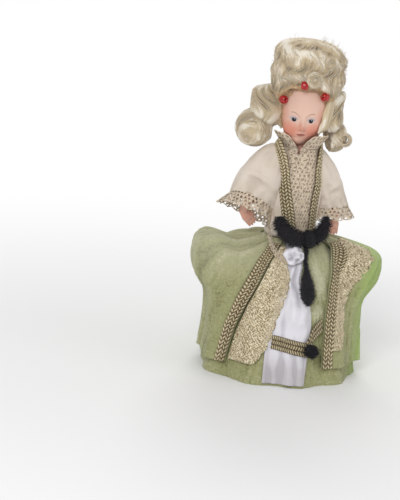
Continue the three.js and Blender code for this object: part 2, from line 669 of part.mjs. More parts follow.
// Height of the coat's neckline at a turn from the front; its notch lies to the right of the middle.
function necklineZ(turn) {
  const fromNotch = turn - rad(NOTCH_TURN);
  const away = Math.abs(Math.atan2(Math.sin(fromNotch), Math.cos(fromNotch)));
  return NECKLINE_Z - NOTCH_DEPTH * (1 - smoothstep(away, 0, rad(NOTCH_REACH)));
}

// The coat at a turn from the front and a height, on its outside or inset from it.
function coatPoint(turn, z, inset = 0) {
  const width = along(COAT_OUTLINE.map((station) => [station.z, station.w]), z) - inset;
  const depth = along(COAT_OUTLINE.map((station) => [station.z, station.d]), z) - inset;
  const flat = COAT_FLAT - inset;
  return vec(clamp(width * Math.sin(turn), -flat, flat), -depth * Math.cos(turn), z);
}

function coatBody() {
  const around = steps(0, 360, 24).slice(1).map(rad);
  const last = COAT_OUTLINE.length - 1;
  // Rings under the notch crowd together below the neckline.
  const level = (turn, i) => Math.min(COAT_OUTLINE[i].z, necklineZ(turn) - (last - i) * 0.5);
  const outer = COAT_OUTLINE.map((_, i) => around.map((turn) => coatPoint(turn, level(turn, i))));
  const inner = COAT_OUTLINE.map((_, i) => around.map((turn) => coatPoint(turn, level(turn, i), CLOTH)));
  const shell = solid(skin([...outer, ...inner.reverse()], true));
  const armhole = crossPin(JOINT_RADIUS + 0.7, 4 * COAT_FLAT, SHOULDER_BACK, SHOULDER_Z, 12);
  return geometryOf(without(shell, [armhole]));
}
addPiece("coat_body", coatBody(), CREAM, 0.8);

// Bell sleeves on the arms, with a scalloped lace at each cuff
const ARMHOLE_X = COAT_FLAT + TURN_GAP;

// The outside of a sleeve: along it from the armhole (0) to the cuff (1) and on into the lace.
function sleevePoint(which, around, share) {
  const { side, shoulder, elbow, wrist } = armJoints(which);
  const end = elbow.clone().lerp(wrist, SLEEVE_REACH[which]);
  const start = vec(side * ARMHOLE_X, SHOULDER_BACK, SHOULDER_Z);
  const knee = vec(shoulder.x + side * 5, SHOULDER_BACK, SHOULDER_Z - 2);
  const inner = Math.min(share, 1);
  const centre = new THREE.QuadraticBezierCurve3(start, knee, end).getPoint(inner);
  const slant = lerp(Math.PI / 2, rad(CUFF_SLANT[which]), inner);
  const radius = lerp(SLEEVE_TOP_RADIUS, CUFF_RADIUS[which], inner) + CUFF_FLARE * (share - inner);
  const beyond = Math.max(share - 1, 0) * UPPER_ARM * 2;
  const place = downAlong(centre, side, slant, beyond);
  const deep = radius * lerp(1, CUFF_DEPTH_SHARE, inner);
  const wide = radius * Math.cos(around);
  const out = Math.max(Math.abs(place.x) + wide * Math.cos(slant), ARMHOLE_X);
  return vec(side * out, place.y + deep * Math.sin(around), place.z + wide * Math.sin(slant));
}

// Moves a sleeve's ring point straight towards the middle of its ring.
function sleeveInset(which, around, share, inset) {
  const point = sleevePoint(which, around, share);
  const far = sleevePoint(which, around + Math.PI, share);
  const inwards = far.sub(point);
  return point.addScaledVector(inwards.normalize(), inset);
}

function sleeve(which) {
  const around = steps(0, 360, 20).slice(1).map(rad);
  const lengths = steps(0, 1, 5);
  const face = (inset) => lengths.map((share) => around.map((turn) => sleeveInset(which, turn, share, inset)));
  return skin([...face(0), ...face(CLOTH).reverse()], true);
}

function cuffLace(which) {
  const around = steps(0, 360, 27).slice(1).map(rad);
  const reach = CUFF_LACE / (UPPER_ARM * 2);
  const start = 1 + FIT_GAP / (UPPER_ARM * 2);
  const waves = (turn) => (SCALLOP / (UPPER_ARM * 2)) * Math.abs(Math.sin(4.5 * turn));
  const face = (inset) => [0, 0.5, 1].map((part) => around.map((turn) =>
    sleeveInset(which, turn, lerp(start, start + reach - SCALLOP / (UPPER_ARM * 2) + waves(turn), part), inset)));
  return skin([...face(0), ...face(TRIM).reverse()], true);
}

for (const which of ["left", "right"]) {
  addPiece(`${which}_sleeve`, sleeve(which), CREAM, 0.8);
  addPiece(`${which}_cuff_lace`, cuffLace(which), ECRU, 0.9);
}

// Front of the coat: two braids that close in towards the waist, lace between them and a standing lace collar
const BAND_TOP = WAIST_Z - 1 + BAND_HEIGHT;
const FRONT_FOOT = BAND_TOP + FIT_GAP;
const FRONT_HEAD = NECKLINE_Z - 0.5;
const FRONT_HEIGHTS = [FRONT_FOOT, ...COAT_OUTLINE.slice(1, -1).map((station) => station.z), FRONT_HEAD];
const BRAID_TURNS = {
  left: [[FRONT_FOOT, 36], [SHOULDER_Z - 8, 34], [SHOULDER_Z + 6, 42], [NECK_Z, 54], [FRONT_HEAD, 68]],
  right: [[FRONT_FOOT, 21], [SHOULDER_Z - 8, 37], [SHOULDER_Z + 6, 46], [NECK_Z, 57], [FRONT_HEAD, 70]],
};
const braidHalf = (z) => BRAID_WIDTH / 2 / along(COAT_OUTLINE.map((s) => [s.z, (s.w + s.d) / 2]), z);

function frontBraid(which) {
  const middle = (z) => SIDES[which] * rad(along(BRAID_TURNS[which], z));
  const strip = (across, z) => coatPoint(middle(z) + across * braidHalf(z), z);
  return cloth(strip, steps(-1, 1, 4), FRONT_HEIGHTS, FIT_GAP, TRIM);
}
addPiece("left_front_braid", frontBraid("left"), GOLD, 0.5);
addPiece("right_front_braid", frontBraid("right"), GOLD, 0.5);

function laceJabot() {
  const strip = (across, z) => {
    const which = across < 0 ? "right" : "left";
    const reach = rad(along(BRAID_TURNS[which], z)) - braidHalf(z) - (2 * FIT_GAP) / COAT_FLAT;
    const turn = across * reach;
    return coatPoint(turn, Math.min(z, necklineZ(turn) - 2 * FIT_GAP - 0.15 * (FRONT_HEAD - z)));
  };
  return cloth(strip, steps(-1, 1, 10), FRONT_HEIGHTS, FIT_GAP, TRIM);
}
addPiece("lace_jabot", laceJabot(), ECRU, 0.9);

const COLLAR_OPEN = 5;
const COLLAR_FRONT_RISE = 2.5;
const COLLAR_BACK_RISE = 2.5;

// The inside of the collar, once round from the notch: low there, tall beside the face, low behind the neck.
function collarPoint(fromNotch, share) {
  const away = Math.min(fromNotch, 2 * Math.PI - fromNotch);
  const turn = fromNotch + rad(NOTCH_TURN);
  const foot = necklineZ(turn) + FIT_GAP;
  const full = COLLAR_TOP_Z - foot;
  const frontRise = lerp(COLLAR_FRONT_RISE, full, smoothstep(away, rad(COLLAR_OPEN), rad(34)));
  const rise = lerp(frontRise, COLLAR_BACK_RISE, smoothstep(away, rad(66), rad(100)));
  const z = foot + share * rise;
  const radius = collarRadius(z);
  return vec(radius * Math.sin(turn), -radius * Math.cos(turn), z);
}
const collarTurns = steps(COLLAR_OPEN, 360 - COLLAR_OPEN, 22).map(rad);
addPiece("lace_collar", cloth(collarPoint, collarTurns, steps(0, 1, 3), 0, TRIM), ECRU, 0.9);

// Waistband over the foot of the coat
function waistband() {
  const around = steps(0, 360, 24).slice(1).map(rad);
  const { w, d } = COAT_OUTLINE[0];
  const ring = (z, out) => around.map((turn) => vec((w + out) * Math.sin(turn), -(d + out) * Math.cos(turn), z));
  const outer = [BAND_TOP - BAND_HEIGHT, BAND_TOP].map((z) => ring(z, FIT_GAP + CLOTH + 0.2));
  const inner = [BAND_TOP, BAND_TOP - BAND_HEIGHT].map((z) => ring(z, FIT_GAP + 0.2));
  return skin([...outer, ...inner], true);
}
addPiece("waistband", waistband(), SATIN, 0.6);

// Skirts: outlines from the waist to the hem as [radius, share of the height]
const SKIRT_TOP = WAIST_Z - 1.4;
const curveOf = (outline) => new THREE.SplineCurve(outline.map(([r, share]) => new THREE.Vector2(r, share)));
const UNDER_SIDE = curveOf([
  [13.2, 1], [20, 0.95], [26, 0.85], [30.5, 0.71], [34, 0.545], [36.5, 0.36], [38.5, 0.18], [40.5, 0],
]);
const UNDER_FRONT = curveOf([
  [11.4, 1], [14.5, 0.943], [18.5, 0.845], [22.5, 0.71], [26, 0.57], [29.5, 0.39], [33, 0.195], [36, 0],
]);
const PANNIER = curveOf([
  [15.6, 1], [27, 0.975], [38, 0.94], [PANNIER_REACH - 2.5, 0.89], [PANNIER_REACH, 0.8],
  [PANNIER_REACH - 2, 0.68], [43.2, 0.56], [41.4, 0.42], [41.6, 0.26], [42.6, 0.1],
]);
const OVERSKIRT_EASE = PLUSH + 1.2;

// The outside of the underskirt at a turn from the front and a share of the way to the hem.
function underPoint(turn, share) {
  const side = Math.sin(turn) ** 2;
  const front = UNDER_FRONT.getPoint(clamp(share, 0, 1));
  const outline = front.lerp(UNDER_SIDE.getPoint(clamp(share, 0, 1)), side);
  const radius = outline.x + FOLD_DEPTH * share ** 2 * Math.cos(SKIRT_FOLDS * turn);
  return vec(radius * Math.sin(turn), -radius * Math.cos(turn), SKIRT_TOP * outline.y);
}

// The outside of the overskirt: close to the underskirt in front, drawn out over the hips.
function overPoint(turn, share) {
  const under = underPoint(turn, share * OVERSKIRT_SHARE);
  const radius = Math.hypot(under.x, under.y) + OVERSKIRT_EASE;
  const fromFront = Math.abs(Math.atan2(Math.sin(turn), Math.cos(turn)));
  const back = lerp(1, 0.6, smoothstep(fromFront, rad(105), rad(150)));
  const puff = smoothstep(fromFront, rad(48), rad(88)) * back;
  const hip = PANNIER.getPoint(clamp(share, 0, 1));
  const fold = FOLD_DEPTH * share ** 2 * Math.cos(SKIRT_FOLDS * turn);
  const reach = lerp(radius, hip.x + fold, puff);
  return vec(reach * Math.sin(turn), -reach * Math.cos(turn), lerp(under.z, SKIRT_TOP * hip.y, puff));
}

function underskirt() {
  const around = steps(0, 360, 5 * SKIRT_FOLDS).slice(1).map(rad);
  const levels = steps(0, 1, 6);
  const face = (lift) => levels.map((share) => around.map((turn) => {
    const point = lifted(underPoint, turn, clamp(share, 0.002, 0.998), lift);
    return share === 1 ? point.setZ(0) : point;
  }));
  return skin([...face(0), ...face(-PLUSH).reverse()], true);
}
addPiece("underskirt", underskirt(), GREEN, 0.95);

// Front edges of the overskirt, in degrees from the front, at shares of the way down
const EDGE_LEFT = [[0, 68], [0.2, 55], [0.35, 45], [0.5, 34.5], [0.7, 26.5], [1, 21]];
const EDGE_RIGHT = [[0, -34], [0.15, -36.5], [0.31, -42], [0.51, -48], [0.7, -55], [0.8, -59], [1, -62]];
const edgeTurn = (edge, share) => rad(along(edge, share));
const reachAt = (turn, share) => Math.hypot(overPoint(turn, share).x, overPoint(turn, share).y);

const overskirtSheet = (across, share) =>
  overPoint(lerp(edgeTurn(EDGE_LEFT, share), 2 * Math.PI + edgeTurn(EDGE_RIGHT, share), across), share);
const OVERSKIRT_LEVELS = steps(0.002, 0.998, 9);
addPiece("overskirt", cloth(overskirtSheet, steps(0, 1, 44), OVERSKIRT_LEVELS, -PLUSH, PLUSH), GREEN, 0.95);

// A strip laid on the overskirt beside one of its edges, from one distance in to another.
function edgeStrip(edge, inwards, from, to) {
  return (across, share) => {
    const turn = edgeTurn(edge, share);
    const distance = lerp(from, to(share), across);
    return overPoint(turn + (inwards * distance) / reachAt(turn, share), share);
  };
}
const BRAID_IN = 0.2;
const TRIM_LIFT = FIT_GAP + 0.55;
const braidReach = () => BRAID_IN + EDGE_BRAID_WIDTH;
const edgeBraid = (edge, inwards) =>
  cloth(edgeStrip(edge, inwards, BRAID_IN, braidReach), steps(0, 1, 2), OVERSKIRT_LEVELS.slice(1), TRIM_LIFT, TRIM);
addPiece("left_edge_braid", edgeBraid(EDGE_LEFT, 1), GOLD, 0.5);
addPiece("right_edge_braid", edgeBraid(EDGE_RIGHT, -1), GOLD, 0.5);

const LEFT_LACE_WIDTHS = [[0, 13], [0.2, 13], [0.45, 11], [0.7, 7], [1, 5]];
const leftLace = edgeStrip(EDGE_LEFT, 1, braidReach() + FIT_GAP,
  (share) => braidReach() + FIT_GAP + along(LEFT_LACE_WIDTHS, share));
addPiece("left_edge_lace",
  cloth(leftLace, steps(0, 1, 7), OVERSKIRT_LEVELS.slice(1, -1), TRIM_LIFT + 0.4, TRIM), GOLD, 0.9);

// White satin panel down the front, the gold lace that overlaps it, and the hem braid across it
const PANEL_THICKNESS = 1;
const PANEL_LIFT = FIT_GAP;
const OVER_PANEL = PANEL_LIFT + PANEL_THICKNESS + FIT_GAP + 0.1;
const PANEL_LEFT = [[0, 12], [0.28, 8], [0.53, 12], [0.72, 9], [1, 3]];
const PANEL_RIGHT = [[0, -26], [0.15, -29], [0.35, -29], [0.65, -32], [1, -30]];
const panelSheet = (across, share) =>
  underPoint(lerp(edgeTurn(PANEL_RIGHT, share), edgeTurn(PANEL_LEFT, share), across), share);
addPiece("satin_panel", cloth(panelSheet, steps(0, 1, 7), steps(0.03, 0.98, 9), PANEL_LIFT, PANEL_THICKNESS),
  SATIN, 0.4);

const RIGHT_LACE_FREE = [
  [0, -30], [0.14, -28], [0.27, -23], [0.4, -16], [0.53, -19], [0.66, -26], [0.79, -31], [0.91, -40], [1, -44],
];
const LACE_GAP = rad(1.4);
const rightLace = (across, share) => {
  const atEdge = edgeTurn(EDGE_RIGHT, share / OVERSKIRT_SHARE) + LACE_GAP;
  return underPoint(lerp(atEdge, edgeTurn(RIGHT_LACE_FREE, share), across), share);
};
addPiece("right_edge_lace",
  cloth(rightLace, steps(0, 1, 6), steps(0.14, 0.89, 9), OVER_PANEL, TRIM), GOLD, 0.9);

const HEM_BRAID_SHARES = [[-30, 0.765], [4, 0.805], [12, 0.73], [30, 0.65]];
const HEM_BRAID_HALF = 0.036;
const HEM_BRAID_FROM = -27;
const HEM_BRAID_TO = 21;
const hemBraidStrip = (across, band) => {
  const turn = lerp(HEM_BRAID_FROM, HEM_BRAID_TO, across);
  return underPoint(rad(turn), along(HEM_BRAID_SHARES, turn) + band * HEM_BRAID_HALF);
};
addPiece("hem_braid", cloth(hemBraidStrip, steps(0, 1, 16), [-1, 1], OVER_PANEL, TRIM), GOLD, 0.5);

// Small made-up trims: the rolled satin knot, the chenille rosette, bow, tail and tassel
const KNOT_SIZE = 3;
const knotPlace = lifted(underPoint, rad(-14), 0.22, OVER_PANEL + KNOT_SIZE);
addPiece("panel_knot", ball(KNOT_SIZE, KNOT_SIZE, KNOT_SIZE).translate(...knotPlace.toArray()), SATIN, 0.4);

const ROSETTE_SIZE = 3;
const rosettePlace = lifted(underPoint, rad(6), 0.81, OVER_PANEL + TRIM + FIT_GAP + ROSETTE_SIZE);
addPiece("hem_rosette", ball(ROSETTE_SIZE, ROSETTE_SIZE, ROSETTE_SIZE).translate(...rosettePlace.toArray()),
  BLACK, 1);

const BOW_KNOT = 3.8;
const BOW_X = 3;
const BOW_LOOP_RADII = [1.8, 3, 2.9, 1.6];
const bowY = -(COAT_OUTLINE[0].d + CLOTH + 4 * FIT_GAP + BOW_KNOT);
addPiece("bow_knot", ball(BOW_KNOT, BOW_KNOT, BOW_KNOT).translate(BOW_X, bowY, WAIST_Z + 0.6), BLACK, 1);

function bowLoop(side, reach, rise) {
  const start = BOW_KNOT + FIT_GAP + 0.2;
  const at = (share, y, z) => vec(BOW_X + side * (start + share * reach), bowY + y, WAIST_Z + z);
  const points = [at(0, 0, 0.6), at(0.45, -0.6, 0.1 * rise), at(0.82, 0, 0.5 * rise), at(1, 0.6, rise)];
  return sweep(points, BOW_LOOP_RADII, { lengths: 8, sides: 10 });
}
addPiece("left_bow_loop", bowLoop(1, 6, 13), BLACK, 1);
addPiece("right_bow_loop", bowLoop(-1, 12.4, 10), BLACK, 1);

const TAIL_RADIUS = 1.2;
const tailLift = OVER_PANEL + TAIL_RADIUS + 0.7;
const tail = [[10, 0.12], [10, 0.17], [8, 0.22], [5, 0.275]].map(([turn, share]) =>
  lifted(underPoint, rad(turn), share, tailLift));
tail[0].setZ(WAIST_Z + 0.6 - BOW_KNOT - FIT_GAP - TAIL_RADIUS);
addPiece("bow_tail", sweep(tail, [TAIL_RADIUS, TAIL_RADIUS, TAIL_RADIUS, TAIL_RADIUS], { lengths: 8, sides: 7 }),
  BLACK, 1);

const TASSEL_RADIUS = 4.1;
const tasselLift = OVER_PANEL + TASSEL_RADIUS + 0.2;
const tassel = [0.3, 0.37, 0.45, 0.52, 0.57].map((share) => lifted(underPoint, rad(3.5), share, tasselLift));
const tasselRadii = [0.25, 0.62, 0.94, 1, 0.45].map((share) => share * TASSEL_RADIUS);
addPiece("bow_tassel", sweep(tassel, tasselRadii, { lengths: 8, sides: 10 }), BLACK, 1);

export default doll;
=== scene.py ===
# Celluloid costume doll in court dress: the finished look of the strung figure, its wig and its costume.
import json
import math
import random

import bmesh
import bpy
from mathutils import Matrix, Vector, noise

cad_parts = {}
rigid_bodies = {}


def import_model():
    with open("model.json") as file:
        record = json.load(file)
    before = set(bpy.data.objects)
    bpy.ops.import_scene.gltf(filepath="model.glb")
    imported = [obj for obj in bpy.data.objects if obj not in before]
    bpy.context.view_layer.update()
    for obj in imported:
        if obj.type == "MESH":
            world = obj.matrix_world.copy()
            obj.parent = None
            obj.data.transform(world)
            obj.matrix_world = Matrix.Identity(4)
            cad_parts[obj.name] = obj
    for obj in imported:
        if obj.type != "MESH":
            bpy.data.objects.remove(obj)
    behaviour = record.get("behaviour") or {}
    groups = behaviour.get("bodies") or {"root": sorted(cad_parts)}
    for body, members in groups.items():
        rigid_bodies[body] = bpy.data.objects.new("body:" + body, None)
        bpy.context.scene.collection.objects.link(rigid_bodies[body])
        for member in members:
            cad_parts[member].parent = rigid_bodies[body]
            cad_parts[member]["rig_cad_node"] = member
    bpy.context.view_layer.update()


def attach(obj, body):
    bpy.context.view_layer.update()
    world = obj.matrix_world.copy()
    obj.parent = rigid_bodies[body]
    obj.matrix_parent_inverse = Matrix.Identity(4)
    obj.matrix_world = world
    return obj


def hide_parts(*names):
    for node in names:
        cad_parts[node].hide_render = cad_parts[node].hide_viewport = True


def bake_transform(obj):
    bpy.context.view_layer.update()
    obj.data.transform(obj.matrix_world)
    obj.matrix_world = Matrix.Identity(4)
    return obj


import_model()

bl_info = {
    "name": "Celluloid Costume Doll",
    "version": (1, 0, 0),
    "blender": (4, 5, 0),
    "location": "View3D > Sidebar > Doll",
    "description": "Makes the figure, wig and court costume of a strung celluloid doll",
    "category": "Object",
}

# Shapes below are worked out in millimetres and put in the mesh in metres.
MM = 0.001
SIDES = {"left": 1, "right": -1}

# The figure
SHOULDER_Z = 102
WAIST_Z = 73
NECK_Z = 113
CHIN_Z = 119.2
HEAD_Z = 139.2
HEAD_WIDTH = 24.6
HEAD_DEPTH = 31
HEAD_HEIGHT = 40
HEAD_FORWARD = 1
HEAD_TURN = math.radians(-16)
NECK_RADIUS = 5
ARM_PIVOT_X = 14.7
ARM_PIVOT_Y = 2
UPPER_ARM = 12
FOREARM = 11
ARM_SLANTS = {"left": (34, 10), "right": (40, 26)}
FACE_SHIFT = (-1.3, -1.3)
ARM_VOXEL = 0.28
LEG_VOXEL = 0.45

# The wig
POMPADOUR_FOOT = HEAD_Z + 4.5
POMPADOUR_HEIGHT = 30
POMPADOUR_HALF_WIDTH = 18.2
TEMPLE = HEAD_WIDTH / 2
BEAD_RADIUS = 2.2
HAIRLINE_Z = HEAD_Z + 11
SET_WAVE = 0.8
SET_WAVES = 2.7
LAID_HAIR = 1.2
WIG_SEED = 41
STRAY_HAIRS = 420
FUZZ_HAIRS = 260
RINGLET_HAIRS = 34
PINNED_HAIRS = 70
FUZZ_TAPER = [1, 1, 0.9, 0.8, 0.6, 0.3]
# Straight steps in one hair of each kind
LOCK_STEPS = 12
CROWN_STEPS = 14
STRAY_STEPS = 7
FUZZ_STEPS = len(FUZZ_TAPER) - 1
RINGLET_STEPS = 16

# The coat
COAT_FLAT = 13.2
NECKLINE_Z = 119
NECKLINE_RADIUS = 9.6
NOTCH_DEPTH = 3.2
NOTCH_REACH = math.radians(28)
NOTCH_TURN = math.radians(-22)
COLLAR_TOP_Z = 126.5
COLLAR_FLARE = 14.3
COLLAR_ROOM = 1.8
COLLAR_SCALLOPS = 14
SLEEVE_GATHERS = 11
SLEEVE_REACH = {"left": 0.45, "right": 0.55}
CUFF_RADIUS = {"left": 7.8, "right": 11}
CUFF_SLANT = {"left": 4, "right": 26}
CUFF_DEPTH_SHARE = 0.85
CUFF_LACE = 7.2
BRAID_WIDTH = 6.4
BRAID_THICKNESS = 0.5
BRAID_CABLES = 4
HEM_CABLES = 3
FRONT_PLAITS = 30
EDGE_PLAITS = 36
HEM_PLAITS = 26
FRONT_BRAID_LEVELS = (75.4, 81, 87, 94, 101)
JABOT_FOOT_Z = 75.6
JABOT_TOP_Z = 118.4
COAT_OUTLINE = [
    (73, 13, 10.6),
    (83, 13, 11),
    (94, 13.8, 11.4),
    (103, 14.2, 11),
    (108, 13.6, 10.4),
    (112.4, 11.2, 10),
    (115, 10.1, 9.4),
    (119, 9.6, 9.6),
]
BRAID_TURNS = {
    "left": [(75.9, 36), (94, 34), (108, 41), (113, 52), (118.5, 68)],
    "right": [(75.9, 21), (94, 36), (108, 46), (113, 63), (118.5, 78)],
}

# The skirts
SKIRT_TOP = WAIST_Z - 1.4
SKIRT_FOLDS = 9
FOLD_DEPTH = 1.5
PLUSH = 1.2
SATIN = 0.6
BAND_HALF_WIDTH = 13
BAND_HALF_DEPTH = 10.6
BAND_FOOT_Z = 72.1
BAND_TOP_Z = 75.5
BAND_THICKNESS = 0.5
RIGHT_HOIST = 5
WAIST_GATHERS = 22
# Turns from straight ahead where the overskirt starts to puff out, is fullest, eases and is flattest behind,
# and the share of the puff that is left there
PUFF_START = math.radians(48)
PUFF_FULL = math.radians(88)
PUFF_EASES = math.radians(105)
PUFF_BEHIND = math.radians(150)
PUFF_LEFT_BEHIND = 0.6
OVERSKIRT_SHARE = 0.9
OVERSKIRT_EASE = PLUSH + 1.2
UNDER_SIDE = [
    (13.2, 1), (20, 0.95), (26, 0.85), (30.5, 0.71), (34, 0.545), (36.5, 0.36), (38.5, 0.18), (40.5, 0),
]
UNDER_FRONT = [
    (11.4, 1), (14.5, 0.943), (18.5, 0.845), (22.5, 0.71), (26, 0.57), (29.5, 0.39), (33, 0.195), (36, 0),
]
PANNIER = [
    (15.6, 1), (27, 0.975), (38, 0.94), (48.9, 0.89), (51.4, 0.8),
    (49.4, 0.68), (43.2, 0.56), (41.4, 0.42), (41.6, 0.26), (42.6, 0.1),
]
EDGE_LEFT = [(0, 68), (0.2, 55), (0.35, 45), (0.5, 34.5), (0.7, 26.5), (1, 21)]
EDGE_RIGHT = [(0, -34), (0.15, -36.5), (0.31, -42), (0.51, -48), (0.7, -55), (0.8, -59), (1, -62)]
LEFT_LACE_WIDTHS = [(0, 6.6), (0.2, 6.6), (0.45, 8), (0.7, 6.4), (1, 5)]
PANEL_LEFT = [(0, 9), (0.2, 6), (0.3, 3), (0.41, 0), (0.5, 7), (0.58, 11), (0.68, 11.5), (0.76, 8), (1, 3)]
PANEL_RIGHT = [(0, -26), (0.15, -29), (0.35, -29), (0.65, -32), (1, -30)]
RIGHT_LACE_FREE = [
    (0, -30), (0.14, -28), (0.27, -23), (0.4, -16), (0.53, -19),
    (0.66, -26), (0.79, -31), (0.91, -40), (1, -44),
]
HEM_BRAID_SHARES = [(-30, 0.765), (4, 0.805), (12, 0.73), (30, 0.65)]
HEM_BRAID_TURNS = (-27, 24)
HEM_BRAID_HALF = 0.036
BRAID_IN = 0.2
EDGE_BRAID_WIDTH = 5
TRIM_LIFT = 0.85
PANEL_LIFT = 0.3
OVER_PANEL = 1.7
# How long each sheet of cloth is when it lies flat
SHEET_LENGTHS = {
    "coat": 46, "sleeve": 34, "jabot": 42, "underskirt": 78, "overskirt": 88, "panel": 72,
    "left_lace": 66, "right_lace": 60,
}

# The bow
BOW_X = 4.2
BOW_Y = -16.4
BOW_SEED = 7
FIBRE_RADIUS = 0.09

# Columns and rows of each piece's mesh
GRIDS = {
    "head": (190, 140), "neck": (40, 14), "crown": (220, 120), "laid_hair": (170, 50), "curl": (72, 72),
    "pinned_curl": (48, 20), "bead": (40, 24), "coat": (120, 70), "sleeve": (120, 80), "jabot": (60, 90),
    "collar": (220, 20), "coat_edge": (80, 12), "front_braid": (44, 300), "edge_braid": (33, 300),
    "hem_braid": (170, 33), "underskirt": (270, 90), "overskirt": (280, 110), "waistband": (120, 10),
    "panel": (60, 120), "knot": (72, 48), "left_lace": (40, 150), "right_lace": (48, 150), "bow": (20, 36),
}
# Columns of the cuff lace for each scallop, and its rows
CUFF_COLUMNS = 20
CUFF_ROWS = 24
# Points inside the doll that the faces of each group turn away from
CROWN_MIDDLE = (0, 0, HEAD_Z + 18)
COAT_MIDDLE = (0, 0, 95)
SLEEVE_MIDDLES = {"left": (18, 0, 98), "right": (-18, 0, 98)}
COLLAR_MIDDLE = (0, 0, 118)
WAIST_MIDDLE = (0, 0, 74)
SKIRT_MIDDLE = (0, 0, 30)

# The photograph's frame and the camera that stands for it
IMAGE = (400, 500)
AZIMUTH = math.radians(-17)
ELEVATION = math.radians(14)
ROLL = math.radians(5.6)
DISTANCE = 0.9
METRES_PER_PIXEL = 0.00052
AIM_PIXEL = (290, 238)
AIM_POINT = Vector((0, 0, 0.0697))
SENSOR = 36
CLIP_START = 0.01

# The floor and the light
FLOOR_SIZE = 6
SOFT_LIGHT = 0.53
LAMP_AIM = Vector((0, 0, 0.09))


def colour_property(name, description, default):
    """A colour that a user can change, given as it looks on a screen."""
    return bpy.props.FloatVectorProperty(
        name=name, description=description, default=default, size=3, min=0, max=1, subtype="COLOR_GAMMA")


def length_property(name, description, default):
    return bpy.props.FloatProperty(name=name, description=description, default=default, unit="LENGTH")


class DollColours(bpy.types.PropertyGroup):
    """Colours of the doll's finishes."""
    flesh: colour_property("Flesh", "Celluloid of the face and limbs", (0.9, 0.76, 0.69))
    blush: colour_property("Blush", "Sprayed colour of cheeks, hands and knees", (0.85, 0.5, 0.4))
    lips: colour_property("Lips", "Painted mouth", (0.66, 0.32, 0.29))
    iris: colour_property("Iris", "Painted iris", (0.1, 0.1, 0.17))
    eyelid: colour_property("Eyelid", "Blue-grey shade above the eyes", (0.66, 0.68, 0.75))
    brow: colour_property("Brow", "Painted brow line", (0.55, 0.38, 0.28))
    # Painted highlight on the mohair's crests, and the tone of the paler loose hairs.
    hair_light: colour_property("Hair light", "Combed crests of the mohair", (0.96, 0.925, 0.86))
    hair: colour_property("Hair", "Body colour of the mohair", (0.82, 0.745, 0.61))
    # Painted shade in the mohair's hollows and over the curls, and the tone of the darker loose hairs.
    hair_dark: colour_property("Hair dark", "Hollows of the mohair", (0.49, 0.42, 0.33))
    bead: colour_property("Bead", "Glass of the beads", (0.62, 0.02, 0.03))
    coat: colour_property("Coat", "Fine cotton of the coat", (0.885, 0.835, 0.78))
    ecru: colour_property("Ecru", "Cotton lace", (0.93, 0.85, 0.745))
    # Painted highlight on the braids' raised turns and sparkle.
    gold_light: colour_property("Gold light", "Bright turns of the metal thread", (0.96, 0.91, 0.77))
    gold: colour_property("Gold", "Body of the metal thread", (0.7, 0.62, 0.46))
    # Painted shade with tarnish in the braids' hollows; in the open lace, the dark between the threads.
    gold_dark: colour_property("Gold dark", "Tarnish between the threads", (0.32, 0.26, 0.18))
    lace_gold: colour_property("Lace gold", "Pale metal thread of the open lace", (0.87, 0.81, 0.67))
    # Painted highlight on the plush's crests and towards the waist, and its paler tone.
    plush_light: colour_property("Plush light", "Frosted crests of the plush", (0.82, 0.81, 0.69))
    plush: colour_property("Plush", "Body colour of the plush", (0.65, 0.65, 0.46))
    # Painted shade in the plush's hollows, and its darker tone.
    plush_dark: colour_property("Plush dark", "Hollows of the plush", (0.45, 0.45, 0.28))
    plush_lime: colour_property("Plush lime", "Unfaded plush of the left hip", (0.62, 0.76, 0.36))
    satin: colour_property("Satin", "White satin of the panel", (0.9, 0.89, 0.915))
    chenille: colour_property("Chenille", "Black chenille", (0.07, 0.06, 0.08))
    floor: colour_property("Floor", "Pale studio floor", (0.97, 0.97, 0.97))


class DollSizes(bpy.types.PropertyGroup):
    """Sizes of the fine work that a maker would choose."""
    hair_strand: length_property("Hair strand", "Radius of one combed lock of mohair", 0.00011)
    stray_strand: length_property("Stray strand", "Radius of one loose hair", 0.00006)
    lace_thickness: length_property("Lace thickness", "Thickness of the lace", 0.0003)
    cloth_thickness: length_property("Cloth thickness", "Thickness of the coat cloth", 0.0006)
    plush_thickness: length_property("Plush thickness", "Thickness of plush with its pile", 0.0011)
    braid_relief: length_property("Braid relief", "Height of the plaited threads", 0.00042)
    fibre_length: length_property("Fibre length", "How far a chenille fibre stands off its core", 0.0013)
    curl_strands: bpy.props.IntProperty(
        name="Curl strands", description="Locks combed round each curl", default=260, min=0)
    crown_strands: bpy.props.IntProperty(
        name="Crown strands", description="Locks combed up the pompadour", default=900, min=0)


# Plain sums
def lerp(low, high, share):
    return low + (high - low) * share


def clamp(value, low, high):
    return max(low, min(high, value))


def smooth(value, low, high):
    share = clamp((value - low) / (high - low), 0, 1)
    return share * share * (3 - 2 * share)


def along(stations, place):
    """Straight-line value between (place, value) stations."""
    last = len(stations) - 1
    i = 0
    while i < last - 1 and place > stations[i + 1][0]:
        i += 1
    start, low = stations[i]
    end, high = stations[i + 1]
    return lerp(low, high, clamp((place - start) / (end - start), 0, 1))


def eased(stations, place):
    """The same stations joined by a smooth line."""
    count = len(stations)
    i = 0
    while i < count - 2 and place > stations[i + 1][0]:
        i += 1
    share = clamp((place - stations[i][0]) / (stations[i + 1][0] - stations[i][0]), 0, 1)
    values = [stations[clamp(i + k, 0, count - 1)][1] for k in (-1, 0, 1, 2)]
    return rounded(values, share)


def rounded(values, share):
    """A smooth run through the middle two of four values."""
    before, start, end, after = values
    leave = (end - before) * 0.5
    arrive = (after - start) * 0.5
    cubic = (start - end) * 2 + leave + arrive
    square = (end - start) * 3 - leave * 2 - arrive
    return cubic * share ** 3 + square * share ** 2 + leave * share + start


def spline(points, share):
    """A smooth curve through points, with equal shares between neighbours."""
    last = len(points) - 1
    place = clamp(share, 0, 1) * last
    i = min(int(place), last)
    four = [Vector(points[clamp(i + k, 0, last)]) for k in (-1, 0, 1, 2)]
    return rounded(four, place - i)


